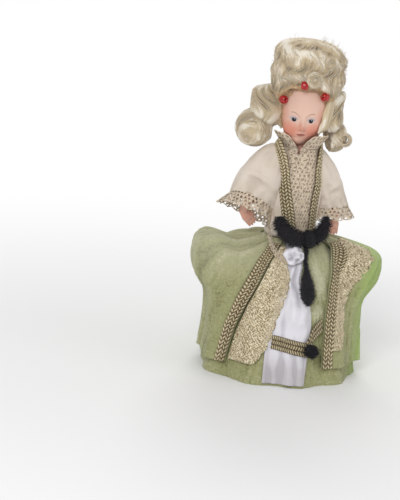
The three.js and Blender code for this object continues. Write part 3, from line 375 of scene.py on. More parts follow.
def grain(x, y, z=0.0, rounds=3):
    """Soft irregular variation from about -1 to 1, the same on every run."""
    total = 0
    strength = 1
    for step in range(rounds):
        scale = 2 ** step
        total += strength * noise.noise(Vector((x * scale, y * scale, z * scale + 7.3 * step)))
        strength *= 0.5
    return total


def ring_grain(turn, size, level, rounds=3):
    """The same variation laid round a form, so that it joins up after a whole turn."""
    return grain(size * math.sin(turn), size * math.cos(turn), level, rounds)


def mound(x, y, middle, half):
    """A soft round rise, 1 at its middle, with its spread in both directions."""
    return math.exp(-((x - middle[0]) / half[0]) ** 2 - ((y - middle[1]) / half[1]) ** 2)


def from_front(turn):
    """How far a turn is from straight ahead, to either side."""
    return abs(math.atan2(math.sin(turn), math.cos(turn)))


def outward(turn, rise=0.0):
    """The direction away from the doll's middle at a turn from straight ahead."""
    return Vector((math.sin(turn), -math.cos(turn), rise))


def ring_point(radius, turn, z):
    return Vector((radius * math.sin(turn), -radius * math.cos(turn), z))


# Mesh making
def face_outwards(shape, centre):
    """Turns every face away from the centre, given in metres."""
    bmesh.ops.recalc_face_normals(shape, faces=shape.faces)
    facing = sum(
        face.normal.dot(face.calc_center_median() - centre) * face.calc_area() for face in shape.faces)
    if facing < 0:
        bmesh.ops.reverse_faces(shape, faces=shape.faces)
    shape.normal_update()


def formed(name, surface, grid, centre, relief=None, turned=False, comb=None):
    """A grid laid over a surface: each point goes to surface(across, along) and is then raised by relief.

    The raised height is kept as the attribute crest, and the place on the grid as the UV map. Where the
    hair is combed sideways, comb(across, along) gives the UV map its first value.
    """
    columns, rows = grid
    shape = bmesh.new()
    flat = shape.loops.layers.uv.new("UVMap")
    bmesh.ops.create_grid(shape, x_segments=columns, y_segments=rows, size=0.5, calc_uvs=True)
    if comb:
        for face in shape.faces:
            for loop in face.loops:
                u, v = loop[flat].uv
                loop[flat].uv = (comb(u, v), v)
    across = shape.verts.layers.float.new("across")
    down = shape.verts.layers.float.new("down")
    crest = shape.verts.layers.float.new("crest")
    for vert in shape.verts:
        vert[across] = vert.co.x + 0.5
        vert[down] = vert.co.y + 0.5
        vert.co = surface(vert[across], vert[down]) * MM
    bmesh.ops.remove_doubles(shape, verts=shape.verts, dist=1e-6)
    face_outwards(shape, Vector(centre) * MM)
    if relief:
        for vert in shape.verts:
            vert[crest] = relief(vert[across], vert[down])
        moves = [(vert, vert.normal * vert[crest] * MM) for vert in shape.verts]
        for vert, move in moves:
            vert.co += move
    if turned:
        bmesh.ops.rotate(shape, verts=shape.verts, matrix=Matrix.Rotation(HEAD_TURN, 3, "Z"))
    for face in shape.faces:
        face.smooth = True
    mesh = bpy.data.meshes.new(name)
    shape.to_mesh(mesh)
    shape.free()
    piece = bpy.data.objects.new(name, mesh)
    bpy.context.scene.collection.objects.link(piece)
    return piece


def thicken(piece, thickness, offset=-1.0):
    solidify = piece.modifiers.new("thickness", "SOLIDIFY")
    solidify.thickness = thickness
    solidify.offset = offset
    solidify.use_even_offset = False


def strands(name, lines, radius, turned=False):
    """Tapered hairs or fibres: lines of points in millimetres, with a thickness share at each point."""
    curve = bpy.data.curves.new(name, "CURVE")
    curve.dimensions = "3D"
    curve.bevel_depth = radius
    curve.bevel_resolution = 0
    curve.use_fill_caps = True
    turn = Matrix.Rotation(HEAD_TURN, 3, "Z") if turned else Matrix.Identity(3)
    for points, shares in lines:
        run = curve.splines.new("POLY")
        run.points.add(len(points) - 1)
        for spot, point, share in zip(run.points, points, shares):
            spot.co = (*(turn @ point * MM), 1)
            spot.radius = share
    source = bpy.data.objects.new(name + "_run", curve)
    mesh = bpy.data.meshes.new_from_object(source)
    mesh.name = name
    mesh.polygons.foreach_set("use_smooth", [True] * len(mesh.polygons))
    bpy.data.objects.remove(source)
    piece = bpy.data.objects.new(name, mesh)
    bpy.context.scene.collection.objects.link(piece)
    return piece


def smoothed_copy(name, node, voxel):
    """A copy of a solid, closed up and rounded off."""
    copy = bpy.data.objects.new(name + "_raw", frame_object(node).data.copy())
    shape = bmesh.new()
    shape.from_mesh(copy.data)
    bmesh.ops.remove_doubles(shape, verts=shape.verts, dist=1e-6)
    shape.to_mesh(copy.data)
    shape.free()
    bpy.context.scene.collection.objects.link(copy)
    remesh = copy.modifiers.new("close", "REMESH")
    remesh.mode = "VOXEL"
    remesh.voxel_size = voxel
    remesh.use_smooth_shade = True
    rub = copy.modifiers.new("rub", "SMOOTH")
    rub.factor = 0.5
    rub.iterations = 9
    seen = copy.evaluated_get(bpy.context.evaluated_depsgraph_get())
    mesh = bpy.data.meshes.new_from_object(seen)
    mesh.name = name
    mesh.materials.clear()
    bpy.data.objects.remove(copy)
    piece = bpy.data.objects.new(name, mesh)
    bpy.context.scene.collection.objects.link(piece)
    return piece


def frame_object(node):
    """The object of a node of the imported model."""
    for candidate in bpy.data.objects:
        if candidate.get("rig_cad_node") == node:
            return candidate
    raise RuntimeError("no object stands for " + node)


def settle(piece, body, material, replaced=()):
    """Gives a piece its finish, the body it moves with and the nodes it stands for."""
    piece.data.materials.append(material)
    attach(piece, body)
    if replaced:
        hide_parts(*replaced)


def follow_arm(piece, which):
    """Bakes the piece's place into its mesh."""
    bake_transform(piece)


def settle_on_arm(piece, which, material, replaced, thickness):
    """Gives a piece of cloth at an arm its finish and thickness, and hides the node it stands for."""
    piece.data.materials.append(material)
    thicken(piece, thickness)
    follow_arm(piece, which)
    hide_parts(replaced)


def declare_sheet(piece, length):
    """Works out a piece's area over a length in millimetres, and keeps nothing of it."""
    area = sum(face.area for face in piece.data.polygons)
    area / (length * MM)


# Shader making
class Value:
    """A shader socket that works in sums as a number does."""

    def __init__(self, finish, socket):
        self.finish = finish
        self.socket = socket

    def sum(self, operation, first, second):
        return self.finish.maths(operation, first, second)

    def __add__(self, other):
        return self.sum("ADD", self, other)

    def __radd__(self, other):
        return self.sum("ADD", other, self)

    def __sub__(self, other):
        return self.sum("SUBTRACT", self, other)

    def __rsub__(self, other):
        return self.sum("SUBTRACT", other, self)

    def __mul__(self, other):
        return self.sum("MULTIPLY", self, other)

    def __truediv__(self, other):
        return self.sum("DIVIDE", self, other)

    def __pow__(self, other):
        return self.sum("POWER", self, other)


def linear(level):
    return level / 12.92 if level <= 0.04045 else ((level + 0.055) / 1.055) ** 2.4


def paint(name):
    """A colour of the doll, as light."""
    return (*(linear(level) for level in getattr(bpy.context.scene.doll_colours, name)), 1)


class Finish:
    """A material whose nodes are added one by one."""

    def __init__(self, name):
        self.material = bpy.data.materials.new(name)
        self.material.use_nodes = True
        self.tree = self.material.node_tree
        self.shader = self.tree.nodes["Principled BSDF"]

    def put(self, socket, value):
        if isinstance(value, Value):
            self.tree.links.new(value.socket, socket)
        else:
            socket.default_value = value

    def node(self, kind, settings, inputs, output=0):
        made = self.tree.nodes.new(kind)
        for key, value in settings.items():
            setattr(made, key, value)
        for key, value in inputs.items():
            self.put(made.inputs[key], value)
        return Value(self, made.outputs[output])

    def maths(self, operation, *values):
        return self.node("ShaderNodeMath", {"operation": operation}, dict(enumerate(values)))

    def place(self):
        return self.node("ShaderNodeTexCoord", {}, {}, "Object")

    def place_mm(self, turn=0.0):
        """The three parts of the place in millimetres, turned about the upright axis."""
        return self.parts(self.mapped(self.place(), scale=(1 / MM, 1 / MM, 1 / MM), turn=turn))

    def uv(self):
        return self.node("ShaderNodeTexCoord", {}, {}, "UV")

    def kept(self, name):
        return self.node("ShaderNodeAttribute", {"attribute_name": name}, {}, "Fac")

    def mapped(self, vector, scale=(1, 1, 1), turn=0.0, shift=(0, 0, 0)):
        return self.node("ShaderNodeMapping", {}, {
            "Vector": vector, "Scale": scale, "Rotation": (0, 0, turn), "Location": shift})

    def parts(self, vector):
        made = self.tree.nodes.new("ShaderNodeSeparateXYZ")
        self.put(made.inputs[0], vector)
        return [Value(self, socket) for socket in made.outputs]

    def noise(self, vector, scale, detail=3.0, rough=0.55):
        return self.node("ShaderNodeTexNoise", {}, {
            "Vector": vector, "Scale": scale, "Detail": detail, "Roughness": rough}, "Fac")

    def mix(self, share, first, second):
        return self.node("ShaderNodeMix", {"data_type": "RGBA"}, {0: share, 6: first, 7: second}, 2)

    def step(self, value, low, high, soft=True):
        """0 below low, 1 above high, and the other way where low is the greater."""
        kind = "SMOOTHSTEP" if soft else "LINEAR"
        if low > high:
            return 1 - self.step(value, high, low, soft)
        return self.node("ShaderNodeMapRange", {"interpolation_type": kind, "clamp": True}, {
            "Value": value, "From Min": low, "From Max": high, "To Min": 0.0, "To Max": 1.0})

    def wave(self, value):
        """Sine of a value in whole turns."""
        return self.maths("SINE", value * math.tau)

    def size(self, value):
        return self.maths("ABSOLUTE", value)

    def more(self, first, second):
        return self.maths("MAXIMUM", first, second)

    def within(self, value):
        """The part of a value after the point."""
        return self.maths("FRACT", value)

    def oval(self, x, z, middle, half, soft):
        """1 inside an oval and 0 outside it."""
        across = (x - middle[0]) / half[0]
        up = (z - middle[1]) / half[1]
        return self.step(across * across + up * up, 1 + soft, 1 - soft)

    def bump(self, height, distance, strength=1.0):
        return self.node("ShaderNodeBump", {}, {
            "Strength": strength, "Distance": distance, "Height": height})

    def set(self, **sockets):
        """Puts values or links on the shader's sockets, named with _ for a space."""
        for key, value in sockets.items():
            self.put(self.shader.inputs[key.replace("_", " ")], value)
        return self.material


# Finishes
FLESH_SCATTER = (0.6, 0.3, 0.2)
HAIR_SHEEN = (1, 0.95, 0.85, 1)


def celluloid_face():
    """Flesh celluloid with the painted and sprayed features of the face, a painted shade down one side of
    the nose and a painted highlight in each eye.
    """
    finish = Finish("celluloid_face")
    x, y, z = finish.place_mm(turn=-HEAD_TURN)
    x = x - FACE_SHIFT[0]
    z = z - (HEAD_Z + FACE_SHIFT[1])
    mirrored = finish.size(x)
    front = finish.step(y, -4.0, -8.0)
    mottle = finish.noise(finish.place(), 900.0, 2.0)
    colour = finish.mix(mottle * 0.1, paint("flesh"), paint("blush"))
    lower = finish.step(z, -3.0, -9.5)
    cheeks = finish.oval(mirrored, z, (6.6, -9.0), (4.4, 4.2), 0.95)
    chin = finish.oval(x, z, (0, -16.5), (3.4, 2.2), 0.9)
    nose = finish.oval(x, z, (1.1, -7.9), (1.5, 1.3), 0.9)
    temple = finish.oval(mirrored, z, (9.6, -2.6), (2.6, 6), 0.9)
    warm = lower * 0.34 + finish.more(cheeks * 0.45, finish.more(nose * 0.22, temple * 0.3)) - chin * 0.16
    fore = finish.step(z, 0.0, 10.0)
    lid = finish.oval(mirrored, z, (4.5, -3.0), (2.1, 1.2), 0.7)
    # Painted shade down the right side of the nose, in the blush colour.
    beside = finish.oval(x, z, (-0.9, -6.9), (1.1, 2.4), 0.9)
    white = finish.oval(mirrored, z, (4.35, -3.85), (1.8, 0.85), 0.3)
    iris = finish.oval(mirrored, z, (4.25, -3.7), (1.1, 1.05), 0.25)
    iris_shown = iris * finish.step(z, -2.75, -2.95)
    pupil = finish.oval(mirrored, z, (4.25, -3.75), (0.6, 0.6), 0.3)
    # A painted highlight in each eye.
    glint = finish.oval(x, z, (-3.95, -3.25), (0.24, 0.22), 0.3)
    glint = finish.more(glint, finish.oval(x, z, (4.55, -3.25), (0.24, 0.22), 0.3))
    from_middle = mirrored - 4.2
    lash_height = -2.75 - from_middle * from_middle * 0.18
    lash_run = finish.step(finish.size(from_middle), 2.1, 1.4)
    lash = finish.step(finish.size(z - lash_height), 0.28, 0.08) * lash_run
    from_arch = mirrored - 4.9
    brow_height = 0.1 - from_arch * from_arch * 0.2
    brow_run = finish.step(finish.size(mirrored - 3.8), 2.7, 1.8)
    brow = finish.step(finish.size(z - brow_height), 0.34, 0.1) * brow_run
    upper_edge = -10.6 - mirrored * 0.12
    lower_edge = -12.2 + mirrored * mirrored * 0.2
    mouth = finish.step(z - lower_edge, -0.25, 0.25) * finish.step(z - upper_edge, 0.2, -0.2)
    mouth = mouth * finish.step(mirrored, 2.5, 1.8)
    parting = finish.step(finish.size(z + 11.25), 0.26, 0.08) * finish.step(mirrored, 2.4, 1.6)
    nostril = finish.oval(finish.size(x - 0.9), z, (0.75, -8.75), (0.4, 0.22), 0.5)
    layers = [
        (warm, 1.0, paint("blush")),
        (fore, 0.75, (0.69, 0.45, 0.36, 1)),
        (lid, 0.5, paint("eyelid")),
        # The painted shade beside the nose.
        (beside, 0.42, paint("blush")),
        (white, 0.5, (0.5, 0.5, 0.55, 1)),
        (iris_shown, 1.0, paint("iris")),
        (pupil, 1.0, (0.004, 0.004, 0.008, 1)),
        (glint, 0.6, (0.75, 0.78, 0.85, 1)),
        (lash, 0.6, (0.09, 0.07, 0.08, 1)),
        (brow, 0.62, paint("brow")),
        (mouth, 0.8, paint("lips")),
        (parting, 0.55, (0.17, 0.045, 0.04, 1)),
        (nostril, 0.5, (0.3, 0.1, 0.07, 1)),
    ]
    for spot, strength, tint in layers:
        colour = finish.mix(spot * front * strength, colour, tint)
    pores = finish.noise(finish.place(), 2600.0, 2.0)
    return finish.set(
        Base_Color=colour, Roughness=0.46 - mouth * 0.1 - iris * 0.2,
        Normal=finish.bump(pores, 0.00006, 0.35),
        Subsurface_Weight=0.12, Subsurface_Radius=FLESH_SCATTER, Subsurface_Scale=0.0015,
        Specular_IOR_Level=0.4, Coat_Weight=0.08, Coat_Roughness=0.4)


def celluloid():
    """Flesh celluloid of body and limbs, sprayed warmer in uneven clouds."""
    finish = Finish("celluloid")
    mottle = finish.noise(finish.place(), 260.0, 3.0)
    speck = finish.noise(finish.place(), 1800.0, 2.0)
    warm = finish.step(mottle, 0.35, 0.75)
    colour = finish.mix(warm * 0.3 + 0.26, paint("flesh"), paint("blush"))
    return finish.set(
        Base_Color=colour, Roughness=0.42 + speck * 0.12, Normal=finish.bump(speck, 0.00005, 0.3),
        Subsurface_Weight=0.1, Subsurface_Radius=FLESH_SCATTER, Subsurface_Scale=0.0012,
        Specular_IOR_Level=0.4)


def mohair(name, across, around, crest, deep=0.0):
    """Combed mohair: streaks along the locks, painted highlight on the crests and painted shade in the
    hollows, all darkened further by deep, a painted shade.
    """
    finish = Finish(name)
    streak_place = finish.mapped(finish.uv(), scale=(across, around, 1))
    streaks = finish.noise(streak_place, 1.0, 4.0, 0.6)
    fine_place = finish.mapped(finish.uv(), scale=(across * 3.5, around * 1.6, 1), shift=(3, 5, 0))
    fine = finish.noise(fine_place, 1.0, 3.0)
    # The relief's crests are painted lighter as highlight and its hollows darker as shade.
    raised = finish.step(finish.kept("crest"), -crest, crest, False)
    level = raised * 0.85 + streaks * 0.45 + fine * 0.28
    dark = finish.step(level, 0.7, 0.3)
    pale = finish.step(level, 0.8, 1.12)
    colour = finish.mix(dark, paint("hair"), paint("hair_dark"))
    colour = finish.mix(pale, colour, paint("hair_light"))
    # deep paints shade over the whole piece, for the curls.
    colour = finish.mix(deep, colour, paint("hair_dark"))
    height = streaks * 0.6 + fine * 0.4
    return finish.set(
        Base_Color=colour, Roughness=0.46 + fine * 0.15, Normal=finish.bump(height, 0.0005, 0.8),
        Sheen_Weight=0.25, Sheen_Roughness=0.35, Sheen_Tint=HAIR_SHEEN, Specular_IOR_Level=0.55)


def loose_hair(name, pale):
    """Single hairs and thin locks, with the shade changing from lock to lock."""
    finish = Finish(name)
    change = finish.noise(finish.place(), 700.0, 2.0)
    shade = finish.mix(0.0 if pale else 0.55, paint("hair_light"), paint("hair_dark"))
    colour = finish.mix(finish.step(change, 0.35, 0.65), paint("hair"), shade)
    return finish.set(
        Base_Color=colour, Roughness=0.4 + change * 0.15, Specular_IOR_Level=0.6, Sheen_Weight=0.2,
        Sheen_Tint=HAIR_SHEEN)


def hairline_fuzz():
    finish = Finish("hairline_fuzz")
    change = finish.noise(finish.place(), 500.0, 2.0)
    colour = finish.mix(change, (0.62, 0.34, 0.16, 1), (0.8, 0.58, 0.34, 1))
    return finish.set(Base_Color=colour, Roughness=0.5 + change * 0.1)


def bead_glass():
    finish = Finish("bead_glass")
    swirl = finish.noise(finish.place(), 500.0, 2.0)
    colour = finish.mix(finish.step(swirl, 0.4, 0.7), paint("bead"), (0.5, 0.01, 0.015, 1))
    return finish.set(
        Base_Color=colour, Roughness=0.05 + swirl * 0.05, Specular_IOR_Level=0.5, Coat_Weight=0.35,
        Coat_Roughness=0.03, IOR=1.5)


def coat_cloth():
    """Fine cotton: a tight plain weave, slightly soiled in random stains, with painted shade in the hollows
    of its folds.
    """
    finish = Finish("coat_cloth")
    place = finish.place()
    stain = finish.noise(place, 70.0, 4.0)
    cloud = finish.noise(place, 190.0, 3.0)
    x, y, z = finish.place_mm()
    weave = finish.wave((x + y * 0.4) * 2.6) * finish.wave(z * 2.6)
    slub = finish.noise(finish.mapped(place, scale=(300, 300, 2600)), 1.0, 2.0)
    colour = finish.mix(finish.step(stain, 0.45, 0.75) * 0.5, paint("coat"), (0.6, 0.5, 0.38, 1))
    colour = finish.mix(finish.step(cloud, 0.5, 0.8) * 0.25, colour, (0.66, 0.6, 0.57, 1))
    # Painted shade in the hollows of the folds.
    low = finish.step(finish.kept("crest"), 0.2, -0.7)
    colour = finish.mix(low * 0.45, colour, (0.48, 0.41, 0.33, 1))
    return finish.set(
        Base_Color=colour, Roughness=0.78 + slub * 0.15,
        Normal=finish.bump(weave * 0.5 + slub, 0.00012, 0.55), Sheen_Weight=0.15, Sheen_Roughness=0.5)


def eyelet_lace(name, across, rows, edge=True, painted_shade_holes=False, loose=1.0):
    """Cotton bobbin lace: uneven rings of eyelets in rows, with open ground in each ring, filled with
    painted shade where only shade shows through.
    """
    finish = Finish(name)
    u, v = finish.parts(finish.uv())[:2]
    drift = finish.noise(finish.mapped(finish.uv(), scale=(across * 0.8, rows * 0.8, 1)), 1.0, 2.0) - 0.5
    column = u * across + drift * (1.1 * loose)
    row = v * rows + drift * (0.9 * loose)
    stagger = finish.within((row - finish.within(row)) * 0.5)
    cell_u = finish.within(column + stagger) - 0.5
    cell_v = finish.within(row) - 0.5
    away = (cell_u * cell_u + cell_v * cell_v) ** 0.5
    hole = finish.step(away + drift * 0.55, 0.32, 0.24)
    petal = finish.step(finish.size(away - 0.43), 0.1, 0.02)
    corner_u = finish.within(column + stagger + 0.5) - 0.5
    corner_v = finish.within(row + 0.5) - 0.5
    small = finish.step((corner_u * corner_u + corner_v * corner_v) ** 0.5, 0.15, 0.1)
    solid_band = finish.step(v, 0.07, 0.05)
    if edge:
        solid_band = finish.more(solid_band, finish.step(v, 0.93, 0.96))
    open_work = finish.step(finish.more(hole, small * 0.9) * (1 - solid_band), 0.35, 0.65)
    broken = finish.noise(finish.mapped(finish.uv(), scale=(across * 2, rows * 2, 1)), 1.3, 2.0)
    thread = finish.wave(column * 7 + row * 7) * 0.5 + 0.5
    colour = finish.mix(petal * 0.4 + thread * 0.12, paint("ecru"), (0.9, 0.8, 0.66, 1))
    colour = finish.mix(finish.step(broken, 0.5, 0.75) * 0.25, colour, (0.56, 0.42, 0.27, 1))
    shown = 1 - open_work
    # Where only shade shows through, the holes are filled with painted shade and kept solid.
    if painted_shade_holes:
        colour = finish.mix(open_work * 0.7, colour, (0.2, 0.13, 0.075, 1))
        shown = 1.0
    return finish.set(
        Base_Color=colour, Roughness=0.85 + thread * 0.1, Alpha=shown,
        Normal=finish.bump(petal + thread * 0.4 - open_work, 0.00025, 0.8))


def gold_braid(name, across, plaits):
    """Plaited metal thread: painted highlight on the raised turns, more of it towards the shoulders, over
    painted shade and tarnish in the hollows.
    """
    finish = Finish(name)
    u, v = finish.parts(finish.uv())[:2]
    thread = finish.wave(v * plaits * 6 + finish.size(u - 0.5) * across * 2.2)
    # Raised turns are painted lighter as highlight and the hollows darker as shade.
    raised = finish.step(finish.kept("crest"), -0.1, 0.4, False)
    worn = finish.noise(finish.place(), 420.0, 3.0)
    speck = finish.noise(finish.place(), 2100.0, 2.0, 0.7)
    height = finish.parts(finish.place())[2]
    # Painted highlight, brighter towards the shoulders.
    shoulder_highlight = finish.step(height, 96 * MM, 114 * MM)
    level = raised * 0.9 + thread * 0.1 + worn * 0.25 + speck * 0.8 + shoulder_highlight * 0.1
    bright = finish.step(level, 0.8, 1.02)
    colour = finish.mix(bright, paint("gold_dark"), paint("gold"))
    colour = finish.mix(finish.step(level, 1.02, 1.28), colour, paint("gold_light"))
    return finish.set(
        Base_Color=colour, Metallic=0.12 + bright * 0.2, Roughness=0.46 - bright * 0.1,
        Normal=finish.bump(thread + speck, 0.0002, 0.6), Specular_IOR_Level=0.6)


def gold_lace(name, across, rows):
    """Open metal lace: crossing threads and bright specks, tarnished between, more open at the free edge."""
    finish = Finish(name)
    u, v = finish.parts(finish.uv())[:2]
    drift = finish.noise(finish.mapped(finish.uv(), scale=(across * 0.5, rows * 0.5, 1)), 1.0, 2.0) * 1.6
    one = finish.size(finish.within(u * across + v * rows + drift) - 0.5)
    other = finish.size(finish.within(u * across - v * rows + drift) - 0.5)
    thread = finish.more(finish.step(one, 0.2, 0.32), finish.step(other, 0.2, 0.32))
    speck = finish.noise(finish.place(), 1250.0, 2.0, 0.6)
    worn = finish.noise(finish.place(), 500.0, 3.0)
    level = thread * 0.3 + speck * 1.5 + worn * 0.2
    free = finish.step(u, 0.66, 0.9)
    edge = finish.more(finish.step(u, 0.06, 0.03), finish.step(u, 0.95, 0.98))
    held = finish.more(edge, finish.step(level - free * 0.16, 0.82, 0.9))
    colour = finish.mix(finish.step(level, 0.88, 1.02), paint("gold_dark"), paint("gold"))
    colour = finish.mix(finish.step(level, 1.0, 1.12), colour, paint("lace_gold"))
    colour = finish.mix(finish.step(level, 1.2, 1.4), colour, (0.91, 0.85, 0.7, 1))
    return finish.set(
        Base_Color=colour, Metallic=0.08 + worn * 0.15, Roughness=0.55 - worn * 0.1,
        Alpha=finish.step(held, 0.3, 0.6), Normal=finish.bump(thread + speck, 0.00012, 0.6))


def plush():
    """Crushed plush of uneven tone, with painted olive shade in its hollows, painted highlight on its crests
    and painted light towards the waist, and greener on the left hip.
    """
    finish = Finish("green_plush")
    place = finish.place()
    pile = finish.noise(place, 2400.0, 3.0, 0.7)
    speck = finish.noise(place, 850.0, 3.0, 0.7)
    patch = finish.noise(place, 95.0, 4.0, 0.6)
    streak = finish.noise(finish.mapped(place, scale=(330, 330, 80)), 1.0, 3.0, 0.6)
    # Crests are painted lighter as highlight and hollows darker as shade.
    raised = finish.step(finish.kept("crest"), -1.1, 1.6, False)
    level = raised * 0.45 + patch * 0.35 + streak * 0.1 + speck * 0.8 + pile * 0.25
    colour = finish.mix(finish.step(level, 0.92, 0.62), paint("plush"), paint("plush_dark"))
    colour = finish.mix(finish.step(level, 0.9, 1.28), colour, paint("plush_light"))
    x, y, z = finish.place_mm()
    # Painted light from above, paler towards the waist.
    colour = finish.mix(finish.step(z, 44.0, 66.0) * 0.4, colour, paint("plush_light"))
    hip = finish.step(x, 29.0, 42.0) * finish.step(y, 16.0, -6.0)
    colour = finish.mix(hip * 0.62, colour, paint("plush_lime"))
    return finish.set(
        Base_Color=colour, Roughness=0.82 + pile * 0.12,
        Normal=finish.bump(pile + speck * 1.2, 0.0006, 0.75),
        Sheen_Weight=0.5, Sheen_Roughness=0.35, Sheen_Tint=(0.9, 0.93, 0.74, 1))


def white_satin(name="white_satin", shade="satin"):
    """Satin with random soil, painted shade in its hollows and a painted shadow that darkens it towards the
    hem.
    """
    finish = Finish(name)
    place = finish.place()
    thread = finish.noise(finish.mapped(place, scale=(300, 300, 5200)), 1.0, 2.0)
    soil = finish.noise(place, 85.0, 4.0)
    colour = finish.mix(finish.step(soil, 0.48, 0.75) * 0.5, paint(shade), (0.55, 0.52, 0.55, 1))
    # Painted shade in the hollows of the folds.
    low = finish.step(finish.kept("crest"), 0.35, -0.8)
    colour = finish.mix(low * 0.62, colour, (0.3, 0.28, 0.32, 1))
    # Painted shadow darkening the lowest part, towards the hem.
    hem = finish.step(finish.parts(place)[2], 20 * MM, 6 * MM)
    colour = finish.mix(hem * 0.4, colour, (0.28, 0.24, 0.22, 1))
    return finish.set(
        Base_Color=colour, Roughness=0.34 + thread * 0.16, Normal=finish.bump(thread, 0.00012, 0.4),
        Sheen_Weight=0.3, Sheen_Roughness=0.3, Specular_IOR_Level=0.55)


def chenille():
    finish = Finish("black_chenille")
    tuft = finish.noise(finish.place(), 1500.0, 3.0, 0.7)
    colour = finish.mix(finish.step(tuft, 0.55, 0.8), paint("chenille"), (0.035, 0.03, 0.04, 1))
    return finish.set(
        Base_Color=colour, Roughness=0.85 + tuft * 0.1, Normal=finish.bump(tuft, 0.0004, 0.8),
        Sheen_Weight=0.15, Sheen_Tint=(0.5, 0.48, 0.55, 1))


def covered_elastic():
    finish = Finish("elastic")
    x, y, z = finish.place_mm()
    wrap = finish.wave((x + y + z) * 1.6)
    soil = finish.noise(finish.place(), 300.0, 3.0)
    colour = finish.mix(soil, (0.62, 0.56, 0.46, 1), (0.74, 0.7, 0.62, 1))
    return finish.set(Base_Color=colour, Roughness=0.85 + soil * 0.1, Normal=finish.bump(wrap, 0.0002, 0.6))


def bent_wire():
    finish = Finish("wire")
    rust = finish.noise(finish.place(), 700.0, 3.0)
    colour = finish.mix(finish.step(rust, 0.5, 0.75), (0.36, 0.35, 0.34, 1), (0.24, 0.13, 0.07, 1))
    return finish.set(Base_Color=colour, Metallic=0.9 - rust * 0.3, Roughness=0.3 + rust * 0.3)


# Head
# Each feature of the face: across, height above the head's middle, lift, spread across, spread in height.
FACE_FEATURES = [
    (0.9, -7.6, 2.7, 1.3, 1.35),
    (0.6, -4.6, 1.6, 1.1, 2.8),
    (2.25, -8.3, 0.55, 0.75, 0.65),
    (-0.45, -8.3, 0.55, 0.75, 0.65),
    (1.65, -8.95, -0.3, 0.45, 0.3),
    (0.15, -8.95, -0.3, 0.45, 0.3),
    (4.6, -3.6, -1.05, 2.5, 1.7),
    (-4.6, -3.6, -1.05, 2.5, 1.7),
    (4.4, -3.8, 0.55, 1.6, 0.95),
    (-4.4, -3.8, 0.55, 1.6, 0.95),
    (4.5, -2.2, 0.22, 2.1, 0.45),
    (-4.5, -2.2, 0.22, 2.1, 0.45),
    (5.8, -9.4, 0.9, 3.1, 3.2),
    (-5.8, -9.4, 0.9, 3.1, 3.2),
    (0, -11, 0.55, 2.2, 1.4),
    (0, -10.65, 0.28, 1.7, 0.4),
    (0, -11.65, 0.34, 1.4, 0.45),
    (0, -11.12, -0.35, 1.9, 0.2),
    (0, -13.1, -0.28, 2.2, 0.7),
    (0, -15.6, 0.85, 2.8, 2.2),
]


def face_lift(x, height):
    """How far the features bring the face forward at a place."""
    total = 0
    for across, up, lift, wide, high in FACE_FEATURES:
        total += lift * mound(x - FACE_SHIFT[0], height - FACE_SHIFT[1], (across, up), (wide, high))
    return total


def head_point(around, up):
    """The head's skin: once round from the back, and from under the chin to the crown."""
    share = lerp(-math.pi, math.pi, around)
    turn = share - 0.5 * math.sin(share)
    latitude = lerp(-math.pi / 2, math.pi / 2, up)
    level = math.cos(latitude)
    height = HEAD_HEIGHT / 2 * math.sin(latitude)
    front = smooth(math.cos(turn), 0.1, 0.6)
    cheek = smooth(math.cos(turn), 0.35, 0.75)
    jaw = 1 + cheek * 0.1 * math.exp(-((height + 12) / 5) ** 2)
    x = HEAD_WIDTH / 2 * level * jaw * math.sin(turn)
    y = -HEAD_FORWARD - HEAD_DEPTH / 2 * level * math.cos(turn) - front * face_lift(x, height)
    chin_shift = -1.9 * front * smooth(-height, 2, 18)
    return Vector((x + chin_shift, y, HEAD_Z + height))


def neck_point(around, up):
    turn = math.tau * around
    z = lerp(NECK_Z - 4, CHIN_Z + 4, up)
    waist = 0.25 * math.sin(math.pi * up)
    foot = smooth(up, 0, 0.06)
    radius = (NECK_RADIUS - waist) * lerp(0.8, 1, foot)
    return ring_point(radius, turn, z)


# Wig
POMPADOUR_WIDTHS = [
    (0, 0.9), (0.15, 0.955), (0.35, 0.985), (0.5, 1), (0.66, 0.995), (0.74, 0.975),
    (0.8, 0.93), (0.86, 0.82), (0.9, 0.71), (0.943, 0.55), (0.985, 0.28), (1, 0),
]
POMPADOUR_SHIFTS = [(0, 0.5), (0.15, -0.4), (0.35, -0.6), (0.55, 0), (0.74, 0.8), (0.88, 1.6), (1, 2.6)]
POMPADOUR_LEAN = -0.9


def pompadour_foot(turn):
    """Height of the hairline: an arch over the brow that comes down over the temples."""
    away = from_front(turn + math.radians(4))
    return lerp(HAIRLINE_Z - 0.3, HEAD_Z + 3.2, smooth(away, math.radians(22), math.radians(62)))


def pompadour_at(turn, level):
    top = POMPADOUR_FOOT + POMPADOUR_HEIGHT
    z = lerp(pompadour_foot(turn), top, level)
    share = (z - POMPADOUR_FOOT) / POMPADOUR_HEIGHT
    grown = lerp(0.9, 1, smooth(level, 0, 0.13))
    width = POMPADOUR_HALF_WIDTH * max(eased(POMPADOUR_WIDTHS, share), 0) * grown
    back = eased(POMPADOUR_SHIFTS, share)
    fuller = 1.6 * max(-math.sin(turn), 0) * (1 - smooth(share, 0.08, 0.36))
    lean = POMPADOUR_LEAN * smooth(share, 0.6, 1) - fuller
    return Vector((lean + width * math.sin(turn), back - 0.95 * width * math.cos(turn), z))


def pompadour_point(around, level):
    return pompadour_at(math.tau * around + math.pi, level)


def wave_phase(turn, level):
    """Where a place lies in the set waves, which drift and bend over the whole pompadour."""
    drift = ring_grain(turn, 1.3, 1.8 * level, 2)
    return math.tau * SET_WAVES * level + 2.3 * math.sin(turn + 0.8) + 3.4 * drift


def swing(turn, level):
    """How far the locks have swung sideways at a place, as a turn."""
    return 0.1 * math.sin(wave_phase(turn, level)) * smooth(level, 0, 0.12)


def pompadour_comb(around, level):
    return around + swing(math.tau * around + math.pi, level) / math.tau


